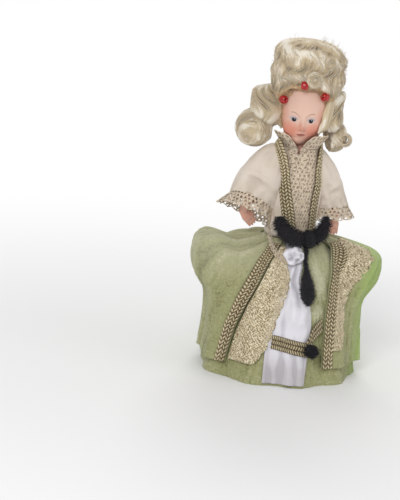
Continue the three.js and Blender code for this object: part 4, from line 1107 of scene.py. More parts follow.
def pompadour_relief(around, level):
    """Broad set waves, with the ridges of the locks that swing through them and frizz on the left side."""
    turn = math.tau * around + math.pi
    lock = turn + swing(turn, level)
    fade = smooth(level, 0, 0.08) * (1 - smooth(level, 0.9, 1))
    frizzy = smooth(math.sin(turn), 0.5, 0.9)
    wave = SET_WAVE * math.cos(wave_phase(turn, level)) * (1 - 0.5 * frizzy)
    ridges = 0.5 * ring_grain(lock, 8, 1.6 * level)
    fine = 0.2 * ring_grain(lock, 34, 3 * level)
    frizz = 0.5 * frizzy * ring_grain(turn, 9, 9 * level)
    return fade * (wave + ridges + fine + frizz)


# Each small pinned curl on the pompadour: turn in degrees, level, radius of the ring, radius of the lock.
PINNED_CURLS = [(7, 0.24, 2.7, 1.5), (30, 0.62, 2.1, 1.2)]


def pinned_curl_place(turn, level):
    """Middle of a pinned curl and the directions across, up and out of the hair there."""
    turn = math.radians(turn)
    out = outward(turn)
    across = Vector((math.cos(turn), math.sin(turn), 0))
    return pompadour_at(turn, level) + out * 0.5, across, Vector((0, 0, 1)), out


def pinned_curl_point(turn, level, ring, thick):
    middle, across, up, out = pinned_curl_place(turn, level)

    def surface(around, tube):
        angle = math.tau * around
        spin = math.tau * tube
        reach = ring + thick * math.cos(spin)
        return (middle + across * (reach * math.cos(angle)) + up * (reach * math.sin(angle))
                + out * (thick * math.sin(spin)))
    return surface


def hair_line(steps, point_at, share_at):
    """One hair: its points and thickness shares from its root to its tip."""
    parts = [step / steps for step in range(steps + 1)]
    return [point_at(part) for part in parts], [share_at(part) for part in parts]


def thin_ends(low):
    """Thickness of a lock that is thin at both ends and full in its middle."""
    return lambda part: low + (1 - low) * math.sin(math.pi * part)


def fine_tip(part):
    return FUZZ_TAPER[round(part * FUZZ_STEPS)]


def pinned_curl_lines(turn, level, ring, thick, chance):
    middle, across, up, out = pinned_curl_place(turn, level)
    lines = []
    for _ in range(PINNED_HAIRS):
        spin = math.pi * chance.random()
        start = math.tau * chance.random()
        reach = lerp(2.0, 4.6, chance.random())
        grow = thick * lerp(1.02, 1.22, chance.random())

        def place(part):
            angle = start + reach * part
            size = ring + grow * math.cos(spin + 0.5 * part)
            height = grow * abs(math.sin(spin + 0.5 * part))
            return (middle + across * (size * math.cos(angle)) + up * (size * math.sin(angle))
                    + out * height)
        lines.append(hair_line(LOCK_STEPS, place, thin_ends(0.3)))
    return lines


# A lock beside the right temple fills the space between the face and the curls.
TEMPLE_LOCK = "right_temple_lock"
# Each curl: middle in the head's own frame, axis, radius and length.
CURLS = {
    "right_upper_curl": ((-TEMPLE - 7, 0, HEAD_Z - 1.3), (-0.25, 0, 1), 8.4, 22),
    "right_lower_curl": ((-TEMPLE - 11.9, 0, HEAD_Z - 12.9), (0.15, 1, 0.1), 9.4, 20),
    "left_upper_curl": ((TEMPLE + 2.2, -1, HEAD_Z - 1), (0.12, 0, 1), 5.4, 22),
    "left_lower_curl": ((TEMPLE + 4.6, 5.8, HEAD_Z - 15), (-0.1, 0.5, 1), 6.2, 16),
    "nape_roll": ((0, HEAD_DEPTH / 2 + 4.5, HEAD_Z - 9.5), (1, 0, 0), 5.6, 26),
    TEMPLE_LOCK: ((-TEMPLE - 5.4, 1.5, HEAD_Z - 4.2), (0.12, 0, 1), 5.2, 17),
}
HANGING_CURLS = ("right_upper_curl", "left_upper_curl", "left_lower_curl", TEMPLE_LOCK)
# How often some curls swell along their length, and by what share of their radius.
CURL_BULGES = {
    "right_upper_curl": (1.4, 0.1), "left_upper_curl": (1.8, 0.2), "left_lower_curl": (1.0, 0.05),
}
# The ringlet's middle and radius.
RINGLET = ((TEMPLE + 10.2, 1.4, HEAD_Z - 15.6), 2.9)


def curl_frame(axis):
    """Two directions across an axis, the first as level as it can be."""
    ahead = Vector(axis).normalized()
    up = Vector((0, 0, 1)) if abs(ahead.z) < 0.8 else Vector((0, -1, 0))
    first = up.cross(ahead).normalized()
    return ahead, first, ahead.cross(first)


def clear_of_collar(point):
    """Moves hair beside the neck outside the collar, so that the head can turn in it."""
    room = (COLLAR_FLARE + COLLAR_ROOM) * (1 - smooth(point.z, COLLAR_TOP_Z + 0.6, COLLAR_TOP_Z + 3))
    grow = max(room / math.hypot(point.x, point.y), 1)
    return Vector((point.x * grow, point.y * grow, point.z))


def curl_at(name, turn, share, grow=0.0):
    """A rolled curl: a barrel with round ends. Hanging curls swell and narrow along their length."""
    middle, axis, radius, length = CURLS[name]
    ahead, first, second = curl_frame(axis)
    angle = math.pi * clamp(share, 0, 1)
    out = max(math.sin(angle), 0) ** 0.72
    dip = 0.1 * math.exp(-(out / 0.3) ** 2)
    along_axis = -math.cos(angle) * (1 - dip) * length / 2
    count, depth = CURL_BULGES.get(name, (0, 0))
    swell = 1 + depth * math.cos(math.tau * count * share + math.pi + 0.5 * math.cos(turn))
    reach = radius * out * swell + grow
    return clear_of_collar(
        Vector(middle) + ahead * along_axis
        + first * (reach * math.cos(turn)) + second * (reach * math.sin(turn)))


def curl_sway(name, turn, share):
    """How far the locks of a hanging curl have swung round it at a share of its length, as a turn."""
    seed = 5.0 * list(CURLS).index(name)
    return 0.5 * math.sin(math.tau * 1.5 * share + seed + 0.6 * math.sin(turn))


def curl_comb(name):
    """Hanging curls are combed along their length with a sway, the others round and round."""
    if name in HANGING_CURLS:
        return lambda around, share: around + curl_sway(name, math.tau * around, share) / math.tau
    return None


def curl_relief(name):
    seed = 5.0 * list(CURLS).index(name)

    def rolled(around, share):
        turn = math.tau * around
        spiral = share + 0.07 * math.sin(turn + seed) + 0.03 * math.sin(2 * turn)
        fade = smooth(math.sin(math.pi * share), 0.02, 0.3)
        broad = 0.3 * math.sin(math.tau * 2.5 * spiral + 0.8 * math.sin(turn))
        locks = 0.75 * grain(9 * spiral + seed, 0.9 * math.cos(turn), 0.9 * math.sin(turn))
        fine = 0.18 * grain(44 * spiral + seed, 1.6 * math.cos(turn), 1.6 * math.sin(turn))
        return fade * (broad + locks) + fine

    def hanging(around, share):
        turn = math.tau * around
        lock = turn + curl_sway(name, turn, share)
        fade = smooth(math.sin(math.pi * share), 0.02, 0.3)
        bulges = CURL_BULGES.get(name, (0, 0))[0]
        phase = math.tau * bulges * share + math.pi + 0.9 * math.sin(turn)
        wave = 0.6 * math.cos(phase) if bulges else 0
        ridges = 0.9 * grain(2.2 * math.cos(lock) + seed, 2.2 * math.sin(lock), 1.2 * share)
        fine = 0.22 * grain(11 * math.cos(lock) + seed, 11 * math.sin(lock), 2 * share)
        return fade * (ridges + fine + wave)
    return hanging if name in HANGING_CURLS else rolled


def cap_at(turn, z, grow):
    """Hair laid close over the back and sides of the head."""
    height = clamp((z - HEAD_Z) / (HEAD_HEIGHT / 2 + grow), -0.98, 0.98)
    level = math.sqrt(1 - height * height)
    x = (HEAD_WIDTH / 2 + grow) * level * math.sin(turn)
    return Vector((x, -HEAD_FORWARD - (HEAD_DEPTH / 2 + grow) * level * math.cos(turn), z))


def cap_point(around, down):
    """Laid hair from the left side of the face round the back to the right side."""
    z = lerp(HEAD_Z + 12, COLLAR_TOP_Z + 1.2, down)
    start = math.radians(lerp(58, 41, smooth(down, 0, 0.8)))
    end = math.tau - math.radians(lerp(70, 73, smooth(down, 0, 1)))
    turn = lerp(start, end, around)
    tuck = smooth(min(around, 1 - around), 0, 0.05) * (1 - smooth(down, 0.9, 1))
    return cap_at(turn, z, lerp(1.3, 2.7, tuck))


def cap_relief(around, down):
    locks = 0.4 * grain(26 * around, 1.6 * down)
    fine = 0.2 * grain(90 * around, 3 * down)
    return locks + fine


def curl_lines(name, count, chance):
    """Locks combed along a hanging curl, or round and round the others."""
    lines = []
    for _ in range(count):
        share = 0.5 + 0.47 * math.sin(math.pi * (chance.random() - 0.5))
        start = math.tau * chance.random()
        reach = lerp(1.2, 3.4, chance.random())
        drift = lerp(-0.05, 0.05, chance.random())
        lift = lerp(0.15, 0.6, chance.random() ** 2)
        run = lerp(0.25, 0.6, chance.random())

        def place(part):
            off = 0.2 + lift * math.sin(math.pi * part)
            if name in HANGING_CURLS:
                spot = clamp(share + run * (part - 0.5), 0.01, 0.99)
                return curl_at(name, start - curl_sway(name, start, spot), spot, off)
            return curl_at(name, start + reach * part, share + drift * part, off)
        lines.append(hair_line(LOCK_STEPS, place, thin_ends(0.25)))
    return lines


def crown_lines(count, chance):
    """Locks that swing up the pompadour through its waves."""
    lines = []
    for _ in range(count):
        lock = math.tau * chance.random()
        start = lerp(-0.02, 0.7, chance.random() ** 1.2)
        reach = lerp(0.12, 0.4, chance.random())
        lift = lerp(0.1, 0.6, chance.random() ** 2)

        def place(part):
            level = clamp(start + reach * part, 0, 0.97)
            turn = lock - swing(lock, level)
            point = pompadour_at(turn, level)
            out = Vector((point.x, point.y, 0)).normalized()
            wave = SET_WAVE * math.cos(wave_phase(turn, level)) * smooth(level, 0, 0.08)
            return point + out * (wave + 0.15 + lift * math.sin(math.pi * part))
        lines.append(hair_line(CROWN_STEPS, place, thin_ends(0.2)))
    return lines


def stray_lines(count, chance):
    """Frizzy single hairs that stand off the pompadour, most of them on its left side."""
    lines = []
    for _ in range(count):
        all_round = chance.random() < 0.35
        low, high = (-150, 150) if all_round else (20, 130)
        turn = math.radians(lerp(low, high, chance.random()))
        level = chance.random() ** 0.8
        base = pompadour_at(turn, min(level, 0.97))
        out = Vector((base.x, base.y, 6)).normalized()
        side = Vector((-out.y, out.x, 0))
        bow = lerp(-2.2, 2.2, chance.random())
        rise = lerp(-1.5, 3.5, chance.random())
        reach = lerp(0.6, 1.9, chance.random() ** 2)

        def place(part):
            arc = math.sin(math.pi * part)
            return base + out * (reach * arc) + side * (bow * 2 * part) + Vector((0, 0, rise * part))
        lines.append(hair_line(STRAY_STEPS, place, lambda part: 1 - 0.7 * part))
    return lines


def fuzz_lines(count, chance):
    """Short hairs that grow out of the hairline over the brow and the temples."""
    lines = []
    for _ in range(count):
        turn = math.radians(lerp(-68, 68, chance.random()))
        foot = cap_at(turn, pompadour_foot(turn) - lerp(0, 1.6, chance.random()), 0.05)
        top = pompadour_at(turn + lerp(-0.06, 0.06, chance.random()), lerp(0.04, 0.12, chance.random()))

        def grown(part):
            return foot.lerp(top, part) + Vector((0, -0.5 * math.sin(math.pi * part), 0))
        lines.append(hair_line(FUZZ_STEPS, grown, fine_tip))
    for _ in range(count // 3):
        z = lerp(HEAD_Z - 10, HEAD_Z + 5, chance.random())
        turn = math.radians(-lerp(62, 72, chance.random()))

        def swept(part):
            return cap_at(turn - 0.25 * part, z - 2.5 * part, 0.05 + 1.6 * part)
        lines.append(hair_line(FUZZ_STEPS, swept, fine_tip))
    return lines


def ringlet_lines(chance):
    """An open loop of a few turns of hair."""
    middle, radius = RINGLET
    lines = []
    for _ in range(RINGLET_HAIRS):
        size = radius + lerp(-0.55, 0.55, chance.random())
        shift = lerp(-1.8, 1.8, chance.random())
        start = math.tau * chance.random()
        sweep = lerp(3.2, 6.1, chance.random())

        def place(part):
            angle = start + sweep * part
            wound = Vector((size * math.cos(angle), shift + 0.8 * part, size * math.sin(angle)))
            return Vector(middle) + wound
        lines.append(hair_line(RINGLET_STEPS, place, lambda part: 0.6 + 1.2 * math.sin(math.pi * part)))
    return lines


# Each bead's turn from straight ahead in degrees and its level on the pompadour.
BEAD_PLACES = {"bead_right": (-42, -0.15), "bead_centre": (-7, 0.1), "bead_left": (32, -0.035)}


def bead_point(turn, level):
    """A fat glass ring round a hole that runs across the hairline."""
    centre = pompadour_at(turn, level)
    out = outward(turn)
    centre = centre + out * (BEAD_RADIUS - 1.1)
    hole = Vector((math.cos(turn), math.sin(turn), 0))

    def surface(around, ring):
        spin = math.tau * around
        tube = math.tau * ring
        reach = BEAD_RADIUS * (0.62 + 0.38 * math.cos(tube))
        return (centre + out * (reach * math.cos(spin)) + Vector((0, 0, reach * math.sin(spin)))
                + hole * (BEAD_RADIUS * 0.8 * math.sin(tube)))
    return surface, centre


# Coat
def coat_at(turn, z):
    width = eased([(level, wide) for level, wide, deep in COAT_OUTLINE], z)
    depth = eased([(level, deep) for level, wide, deep in COAT_OUTLINE], z)
    return Vector((clamp(width * math.sin(turn), -COAT_FLAT, COAT_FLAT), -depth * math.cos(turn), z))


def neckline_z(turn):
    return NECKLINE_Z - NOTCH_DEPTH * (1 - smooth(from_front(turn - NOTCH_TURN), 0, NOTCH_REACH))


def coat_point(around, up):
    turn = math.tau * around + math.pi
    return coat_at(turn, lerp(WAIST_Z, neckline_z(turn), up))


def coat_relief(around, up):
    drawn = smooth(up, 0.1, 0.4) * (1 - smooth(up, 0.85, 1))
    return 0.35 * drawn * grain(7 * around, 2.2 * up, 4)


def cuff_rim(which):
    """Middle of the cuff, its slant from straight down, and its half width and half depth."""
    upper, fore = (math.radians(angle) for angle in ARM_SLANTS[which])
    shoulder = Vector((ARM_PIVOT_X, ARM_PIVOT_Y, SHOULDER_Z))
    elbow = shoulder + Vector((UPPER_ARM * math.sin(upper), 0, -UPPER_ARM * math.cos(upper)))
    wrist = elbow + Vector((FOREARM * math.sin(fore), -ARM_PIVOT_Y, -FOREARM * math.cos(fore)))
    radius = CUFF_RADIUS[which]
    slant = math.radians(CUFF_SLANT[which])
    return elbow.lerp(wrist, SLEEVE_REACH[which]), slant, radius, radius * CUFF_DEPTH_SHARE


# Top line of each sleeve from the neck to the cuff: across, height.
SLEEVE_TOPS = {
    "left": [(9.4, 119.6), (13.6, 116.6), (19.2, 110.4), (23.7, 103.2), (27.2, 95.5)],
    "right": [(9.4, 119.8), (16.2, 118.8), (23, 114), (29, 107), (33, 99.6)],
}
# Line of each sleeve against the body, down to the cuff.
SLEEVE_LOWS = {
    "left": [(8.6, 101), (10, 94), (11.4, 89)],
    "right": [(6.5, 101), (7.5, 94), (9, 88)],
}
CUFF_INSIDE = {"left": 2.2, "right": 4.2}
CUFF_RAISE = {"left": 1.0, "right": 5.6}


def cuff_at(which, turn):
    """The cuff's rim once round, drawn for the left side: raised in front, drawn in towards the body."""
    middle, slant, wide, deep = cuff_rim(which)
    rim = Vector((math.cos(slant), 0, math.sin(slant))) * wide
    drawn = Vector((-CUFF_INSIDE[which], 0, -0.8)) * (0.5 - 0.5 * math.cos(turn)) ** 2
    front = max(math.sin(turn), 0) ** 0.8
    raised_front = Vector((0, 0, CUFF_RAISE[which] * front))
    return middle + rim * math.cos(turn) + Vector((0, -deep * math.sin(turn), 0)) + drawn + raised_front


def sleeve_at(which, turn, share):
    """A cape-like sleeve from the neckline (0) to the cuff (1), drawn for the left side."""
    outer = cuff_at(which, 0)
    inner = cuff_at(which, math.pi)
    deep = cuff_rim(which)[3]
    top = spline([Vector((x, 0.6, z)) for x, z in SLEEVE_TOPS[which]] + [outer], share)
    low = spline([Vector((x, 0.6, z)) for x, z in SLEEVE_LOWS[which]] + [inner], share)
    depth = lerp(7.2, deep, smooth(share, 0, 0.8)) + 1.2 * math.sin(math.pi * share)
    centre = top.lerp(low, 0.5)
    half = (top - low) * 0.5
    flat_rim = ((outer + inner) * 0.5 + (outer - inner) * 0.5 * math.cos(turn)
                + Vector((0, -deep * math.sin(turn), 0)))
    settled = (cuff_at(which, turn) - flat_rim) * smooth(share, 0.35, 1)
    return centre + half * math.cos(turn) + Vector((0, -depth * math.sin(turn), 0)) + settled


def sleeve_point(which):
    side = SIDES[which]

    def surface(around, share):
        point = sleeve_at(which, math.tau * around, share)
        return Vector((side * point.x, point.y, point.z))
    return surface


def sleeve_relief(which):
    """Soft folds, a pinched crease above the front of the cuff and the gathers at its hem."""
    seed = 11.0 if which == "left" else 3.0

    def relief(around, share):
        turn = math.tau * around
        facing = max(math.sin(turn), 0)
        gather = 0.35 * smooth(share, 0.75, 1) * math.sin(SLEEVE_GATHERS * turn + seed)
        crease = (share - 0.55 - 0.1 * math.cos(turn)) / 0.045
        pinch = facing * math.exp(-((turn - 1.1) / 0.5) ** 2)
        fold = pinch * (1.1 * math.exp(-crease ** 2) - 0.9 * math.exp(-(crease - 1.8) ** 2))
        soft = 0.8 * grain(1.6 * math.cos(turn) + seed, 1.6 * math.sin(turn), 3 * share)
        return gather + fold + soft * smooth(share, 0.05, 0.3)
    return relief


CUFF_SCALLOPS = {"left": 10, "right": 14}


def cuff_lace_point(which):
    """A gathered lace edge that hangs from the cuff and flares at its outer end."""
    side = SIDES[which]
    slant = cuff_rim(which)[1]
    rim = Vector((math.cos(slant), 0, math.sin(slant)))
    down = Vector((math.sin(slant), 0, -math.cos(slant)))
    centre = (cuff_at(which, 0) + cuff_at(which, math.pi)) * 0.5
    scallops = CUFF_SCALLOPS[which]

    def surface(around, share):
        turn = math.tau * around
        foot = cuff_at(which, turn)
        out = Vector((foot.x - centre.x, foot.y - centre.y, 0)).normalized()
        outer = max(math.cos(turn), 0) ** 2
        reach = CUFF_LACE * (0.84 + 0.16 * abs(math.sin(scallops * turn / 2)))
        hang = (down * lerp(1, 0.8, outer) + rim * (0.28 * outer)).normalized()
        flare = share * (1.0 + 0.9 * math.sin(scallops * turn + 0.6))
        point = foot + hang * lerp(-0.6, reach, share) + out * flare
        return Vector((side * point.x, point.y, point.z))
    return surface


def braid_half(z):
    return BRAID_WIDTH / 2 / along([(level, (wide + deep) / 2) for level, wide, deep in COAT_OUTLINE], z)


def on_coat(turn, z, lift):
    """A point laid on the coat's outside, raised square to it in plan."""
    point = coat_at(turn, z)
    return point + outward(turn, 0.1).normalized() * lift


# Where each front braid goes over the shoulder: across, forward, height.
BRAID_SHOULDERS = {
    "left": [(8.9, -8.7, 107), (9.6, -7.4, 113.5), (10.6, -4.4, 118.6), (10.9, -2, 120)],
    "right": [(-10.9, -9, 107.3), (-12.6, -8.3, 113), (-13.9, -5.7, 117.6), (-14.2, -2, 120.4)],
}


def front_braid_point(which):
    """A flat braid up the coat's front and over the shoulder."""
    side = SIDES[which]
    turns = BRAID_TURNS[which]
    points = [on_coat(side * math.radians(eased(turns, z)), z, 0.75) for z in FRONT_BRAID_LEVELS]
    points += [Vector(place) for place in BRAID_SHOULDERS[which]]

    def surface(across, up):
        centre = spline(points, up)
        ahead = (spline(points, min(up + 0.02, 1)) - spline(points, max(up - 0.02, 0))).normalized()
        out = outward(math.atan2(centre.x, -centre.y), 0.1)
        beside = ahead.cross(out).normalized()
        reach = (across - 0.5) * BRAID_WIDTH * lerp(1.05, 1.22, smooth(up, 0.55, 0.85))
        return centre - beside * reach - out * (reach * reach / 26)
    return surface


def plait_relief(cables, turns):
    """Threads laid slantwise in cables beside each other, each cable leaning against the next."""
    height = bpy.context.scene.doll_sizes.braid_relief / MM

    def relief(across, up):
        cable = across * cables
        part = cable - math.floor(cable)
        lean = 1 if int(cable) % 2 else -1
        thread = math.sin(math.tau * (up * turns + lean * part * 0.75))
        crown = math.sin(math.pi * clamp(part, 0, 1)) ** 0.6
        return height * crown * (0.55 + 0.45 * thread)
    return relief


def jabot_point(across, up):
    z = lerp(JABOT_FOOT_Z, JABOT_TOP_Z, up)
    which = "right" if across < 0.5 else "left"
    reach = math.radians(eased(BRAID_TURNS[which], z)) - braid_half(z) + 0.06
    turn = lerp(-1, 1, across) * reach
    height = min(z, neckline_z(turn) - 0.3 - 0.12 * (JABOT_TOP_Z - z))
    return on_coat(turn, height, 0.45)


def jabot_relief(across, up):
    return 0.25 * math.sin(math.tau * (4 * up + 0.4 * across)) * math.sin(math.pi * across)


COLLAR_OPEN = math.radians(4)


def collar_radius(z):
    share = clamp((z - NECKLINE_Z) / (COLLAR_TOP_Z - NECKLINE_Z), 0, 1)
    return lerp(NECKLINE_RADIUS, COLLAR_FLARE, share ** 1.2)


def collar_point(around, up):
    """Once round from the notch: low there, tall beside the face, low behind the neck."""
    from_notch = lerp(COLLAR_OPEN, math.tau - COLLAR_OPEN, around)
    away = from_front(from_notch)
    turn = from_notch + NOTCH_TURN
    foot = neckline_z(turn) + 0.1
    full = COLLAR_TOP_Z - foot
    front = lerp(2.8, full, smooth(away, COLLAR_OPEN, math.radians(34)))
    rise = lerp(front, 2.5, smooth(away, math.radians(66), math.radians(100)))
    scallop = 0.5 * abs(math.sin(COLLAR_SCALLOPS * turn)) * up
    z = foot + up * (rise - 0.3 + scallop)
    return ring_point(collar_radius(z) + 0.35, turn, z)


def waistband_point(around, up):
    turn = math.tau * around
    out = 0.7 + 0.5 * math.sin(math.pi * up)
    width = BAND_HALF_WIDTH + out
    depth = BAND_HALF_DEPTH + out
    return Vector((width * math.sin(turn), -depth * math.cos(turn), lerp(BAND_FOOT_Z, BAND_TOP_Z, up)))


# Skirts
def under_at(turn, share):
    """The underskirt at a turn from straight ahead and a share of its fall, wider at the sides."""
    side = math.sin(turn) ** 2
    front = spline(UNDER_FRONT, share)
    outline = front.lerp(spline(UNDER_SIDE, share), side)
    radius = outline.x + FOLD_DEPTH * share ** 2 * math.cos(SKIRT_FOLDS * turn)
    return ring_point(radius, turn, SKIRT_TOP * outline.y)


def over_at(turn, share):
    """The overskirt, puffed out over both hips, with the right hip hoisted."""
    under = under_at(turn, share * OVERSKIRT_SHARE)
    radius = math.hypot(under.x, under.y) + OVERSKIRT_EASE
    away = from_front(turn)
    back = lerp(1, PUFF_LEFT_BEHIND, smooth(away, PUFF_EASES, PUFF_BEHIND))
    puff = smooth(away, PUFF_START, PUFF_FULL) * back
    hip = spline(PANNIER, share)
    fold = FOLD_DEPTH * share ** 2 * math.cos(SKIRT_FOLDS * turn)
    reach = lerp(radius, hip.x + fold, puff)
    right = smooth(-reach * math.sin(turn), 29, 41)
    hoist = RIGHT_HOIST * right * (1 - smooth(share, 0.3, 0.7))
    return ring_point(reach, turn, lerp(under.z, SKIRT_TOP * hip.y, puff) + hoist)


def raised(surface, turn, share, lift):
    """A point of a skirt, raised square to it."""
    tiny = 1e-3
    share = clamp(share, tiny, 1 - tiny)
    point = surface(turn, share)
    wide = surface(turn + tiny, share) - surface(turn - tiny, share)
    long = surface(turn, share + tiny) - surface(turn, share - tiny)
    normal = wide.cross(long).normalized()
    if normal.dot(Vector((point.x, point.y, 12))) < 0:
        normal.negate()
    return point + normal * lift


def edge_turn(edge, share):
    return math.radians(eased(edge, share))


def underskirt_point(around, share):
    return under_at(math.tau * around + math.pi, share)


def underskirt_relief(around, share):
    """Crushed hollows, and two puffs between the panel and the left edge of the overskirt."""
    turn = math.tau * around + math.pi
    hollow = ring_grain(turn, 3.2, 2.2 * share)
    crease = abs(ring_grain(turn, 5, 2.4 * share + 9))
    degrees = math.degrees(math.atan2(math.sin(turn), math.cos(turn)))
    upper = 2.2 * mound(degrees, share, (25, 0.4), (8, 0.12))
    lower = 1.6 * mound(degrees, share, (20, 0.62), (7, 0.06))
    creased = 0.6 * smooth(0.18 - crease, 0, 0.18) * smooth(share, 0.02, 0.2)
    return 0.1 - 0.35 * max(hollow, 0) - creased + upper + lower


def overskirt_point(across, share):
    turn = lerp(edge_turn(EDGE_LEFT, share), math.tau + edge_turn(EDGE_RIGHT, share), across)
    return over_at(turn, share)


def overskirt_relief(across, share):
    """Gathers from the waist and soft slanting folds, quieter beside the trimmed edges."""
    slanted = across + 0.03 * share
    x = math.sin(math.tau * slanted) * 3
    y = math.cos(math.tau * slanted) * 3
    free = smooth(min(across, 1 - across), 0.02, 0.13)
    gathers = 0.5 * math.sin(math.tau * (WAIST_GATHERS * across + 0.8 * grain(x, y, share)))
    gathers *= 1 - smooth(share, 0.12, 0.45)
    broad = 1.7 * grain(1.5 * x, 1.5 * y, 1.5 * share, 2)
    crease = abs(grain(2.4 * x, 2.4 * y, 2.2 * share + 5, 2))
    sharp = -0.7 * smooth(0.14 - crease, 0, 0.14)
    return free * (gathers + broad + sharp) - 0.15


def overskirt_across(turn, share):
    """Where a turn lies between the overskirt's two front edges, as a share of its width."""
    start = edge_turn(EDGE_LEFT, share)
    end = math.tau + edge_turn(EDGE_RIGHT, share)
    return clamp((turn % math.tau - start) / (end - start), 0, 1)


def strip_at(edge, inwards, start, end, across, share, lift):
    """A trim laid over the overskirt's folds beside one of its edges."""
    turn = edge_turn(edge, share)
    spot = over_at(turn, share)
    distance = lerp(start, end, across)
    laid = turn + inwards * distance / math.hypot(spot.x, spot.y)
    return raised(over_at, laid, share, lift + overskirt_relief(overskirt_across(laid, share), share))


def edge_braid_point(edge, inwards):
    def surface(across, down):
        share = lerp(0.1, 0.998, down)
        end = BRAID_IN + EDGE_BRAID_WIDTH
        return strip_at(edge, inwards, BRAID_IN - 0.3, end, across, share, TRIM_LIFT)
    return surface


def left_lace_point(across, down):
    share = lerp(0.11, 0.9, down)
    start = BRAID_IN + EDGE_BRAID_WIDTH - 0.2
    wide = eased(LEFT_LACE_WIDTHS, share) + 0.7 * abs(math.sin(math.tau * 6 * down))
    return strip_at(EDGE_LEFT, 1, start, start + wide, across, share, TRIM_LIFT - 0.1)


def lace_relief(across, down):
    return 0.35 * math.sin(math.tau * 7 * down) * across + 0.25 * grain(4 * across, 9 * down)


def panel_point(across, down):
    share = lerp(0.03, 0.98, down)
    turn = lerp(edge_turn(PANEL_RIGHT, share), edge_turn(PANEL_LEFT, share), across)
    return raised(under_at, turn, share, PANEL_LIFT + 0.75)


def panel_relief(across, down):
    """Soft lengthwise folds, a bulge above the hem braid and a few dents, all flat under the trims."""
    wander = 0.6 * math.sin(2.6 * down) + 0.35 * grain(2 * across, 3 * down)
    fold = 0.75 * math.sin(math.tau * (3.2 * across + wander))
    dents = 1.1 * grain(2.5 * across + 4, 6 * down, 0, 2)
    rim = smooth(min(across, 1 - across), 0, 0.08)
    bag = 1.7 * mound(across, down, (0.68, 0.62), (0.26, 0.1))
    full = (fold * smooth(down, 0.1, 0.4) + dents) * 0.75 + bag + 0.2
    open_part = smooth(across, 0.36, 0.6) * (smooth(down, 0.86, 0.92) + 1 - smooth(down, 0.64, 0.72))
    return clamp(full, -0.35, lerp(0.5, 3, open_part)) * rim


def right_lace_point(across, down):
    share = lerp(0.14, 0.89, down)
    at_edge = edge_turn(EDGE_RIGHT, share / OVERSKIRT_SHARE) + math.radians(1)
    scallop = math.radians(1.6) * abs(math.sin(math.tau * 6.5 * down))
    free = edge_turn(RIGHT_LACE_FREE, share) + scallop
    return raised(under_at, lerp(at_edge, free, across), share, OVER_PANEL + 0.35)


def hem_braid_point(across, band):
    turn = lerp(HEM_BRAID_TURNS[0], HEM_BRAID_TURNS[1], across)
    share = along(HEM_BRAID_SHARES, turn) + lerp(-1, 1, band) * HEM_BRAID_HALF
    return raised(under_at, math.radians(turn), share, OVER_PANEL + 0.3)


# The knot's turn in degrees and share of the fall, its half width, height and depth, and where it faces.
KNOT_PLACE = (-13, 0.225)
KNOT_SIZE = (5, 4.2, 2.5)
KNOT_FACING = (-0.25, -0.93, 0.27)


def knot_centre():
    return raised(under_at, math.radians(KNOT_PLACE[0]), KNOT_PLACE[1], OVER_PANEL + 1.6)


def knot_point(around, up):
    """A puff of rolled satin, wider than high."""
    wide, high, deep = KNOT_SIZE
    out = Vector(KNOT_FACING).normalized()
    first = Vector((1, 0, 0)).cross(out).normalized()
    second = out.cross(first)
    turn = math.tau * around
    angle = math.pi * up
    reach = math.sin(angle)
    return (knot_centre() + second * (wide * reach * math.cos(turn))
            + first * (high * reach * math.sin(turn)) - out * (deep * math.cos(angle)))


def knot_relief(around, up):
    """Crumpled turns of the roll, wound from the middle of the front outwards."""
    turn = math.tau * around
    rim = smooth(math.sin(math.pi * up), 0.1, 0.5)
    wound = 0.4 * math.sin(turn + math.tau * 2.2 * (1 - up)) * rim
    folds = 0.55 * rim * math.sin(5 * turn + 6 * up + 1.5 * math.sin(turn))
    crumple = 0.8 * grain(1.5 * math.cos(turn), 1.5 * math.sin(turn), 4 * up)
    return wound + folds * smooth(up, 0.35, 0.6) * (1 - smooth(up, 0.6, 0.95)) + crumple


# Each point of the narrow lace that edges the coat below the waist: across, forward, height.
COAT_EDGE = [
    (-15.5, -10.6, 80), (-14.8, -13, 74.5), (-13.2, -15.2, 69.2), (-9.6, -17.8, 64.6), (-6.5, -19.6, 64),
]


def coat_edge_point(across, down):
    """Lace that hangs from the coat's right front edge over the top of the skirt."""
    foot = spline(COAT_EDGE, across)
    ripple = 0.5 * math.sin(math.tau * 7 * across) * down
    scallop = 2.6 + 0.5 * abs(math.sin(math.pi * 9 * across))
    hang = Vector((-0.62, -0.3, -0.72)).normalized()
    return foot + hang * (scallop * down) + Vector((0, -0.6 - ripple, 0)) * down


# Bow
def tube(points, radii):
    """A round form along a smooth curve through points, with rounded ends."""
    samples = 48
    centres = [spline(points, k / samples) for k in range(samples + 1)]
    frames = []
    side = None
    for k in range(samples + 1):
        ahead = (centres[min(k + 1, samples)] - centres[max(k - 1, 0)]).normalized()
        if side is None:
            side = ahead.orthogonal().normalized()
        side = (side - ahead * side.dot(ahead)).normalized()
        frames.append((centres[k], side, ahead.cross(side)))
    stations = [(k / (len(radii) - 1), radius) for k, radius in enumerate(radii)]

    def surface(around, share):
        centre, first, second = frames[round(clamp(share, 0, 1) * samples)]
        turn = math.tau * around
        radius = eased(stations, share)
        return centre + first * (radius * math.cos(turn)) + second * (radius * math.sin(turn))
    return surface


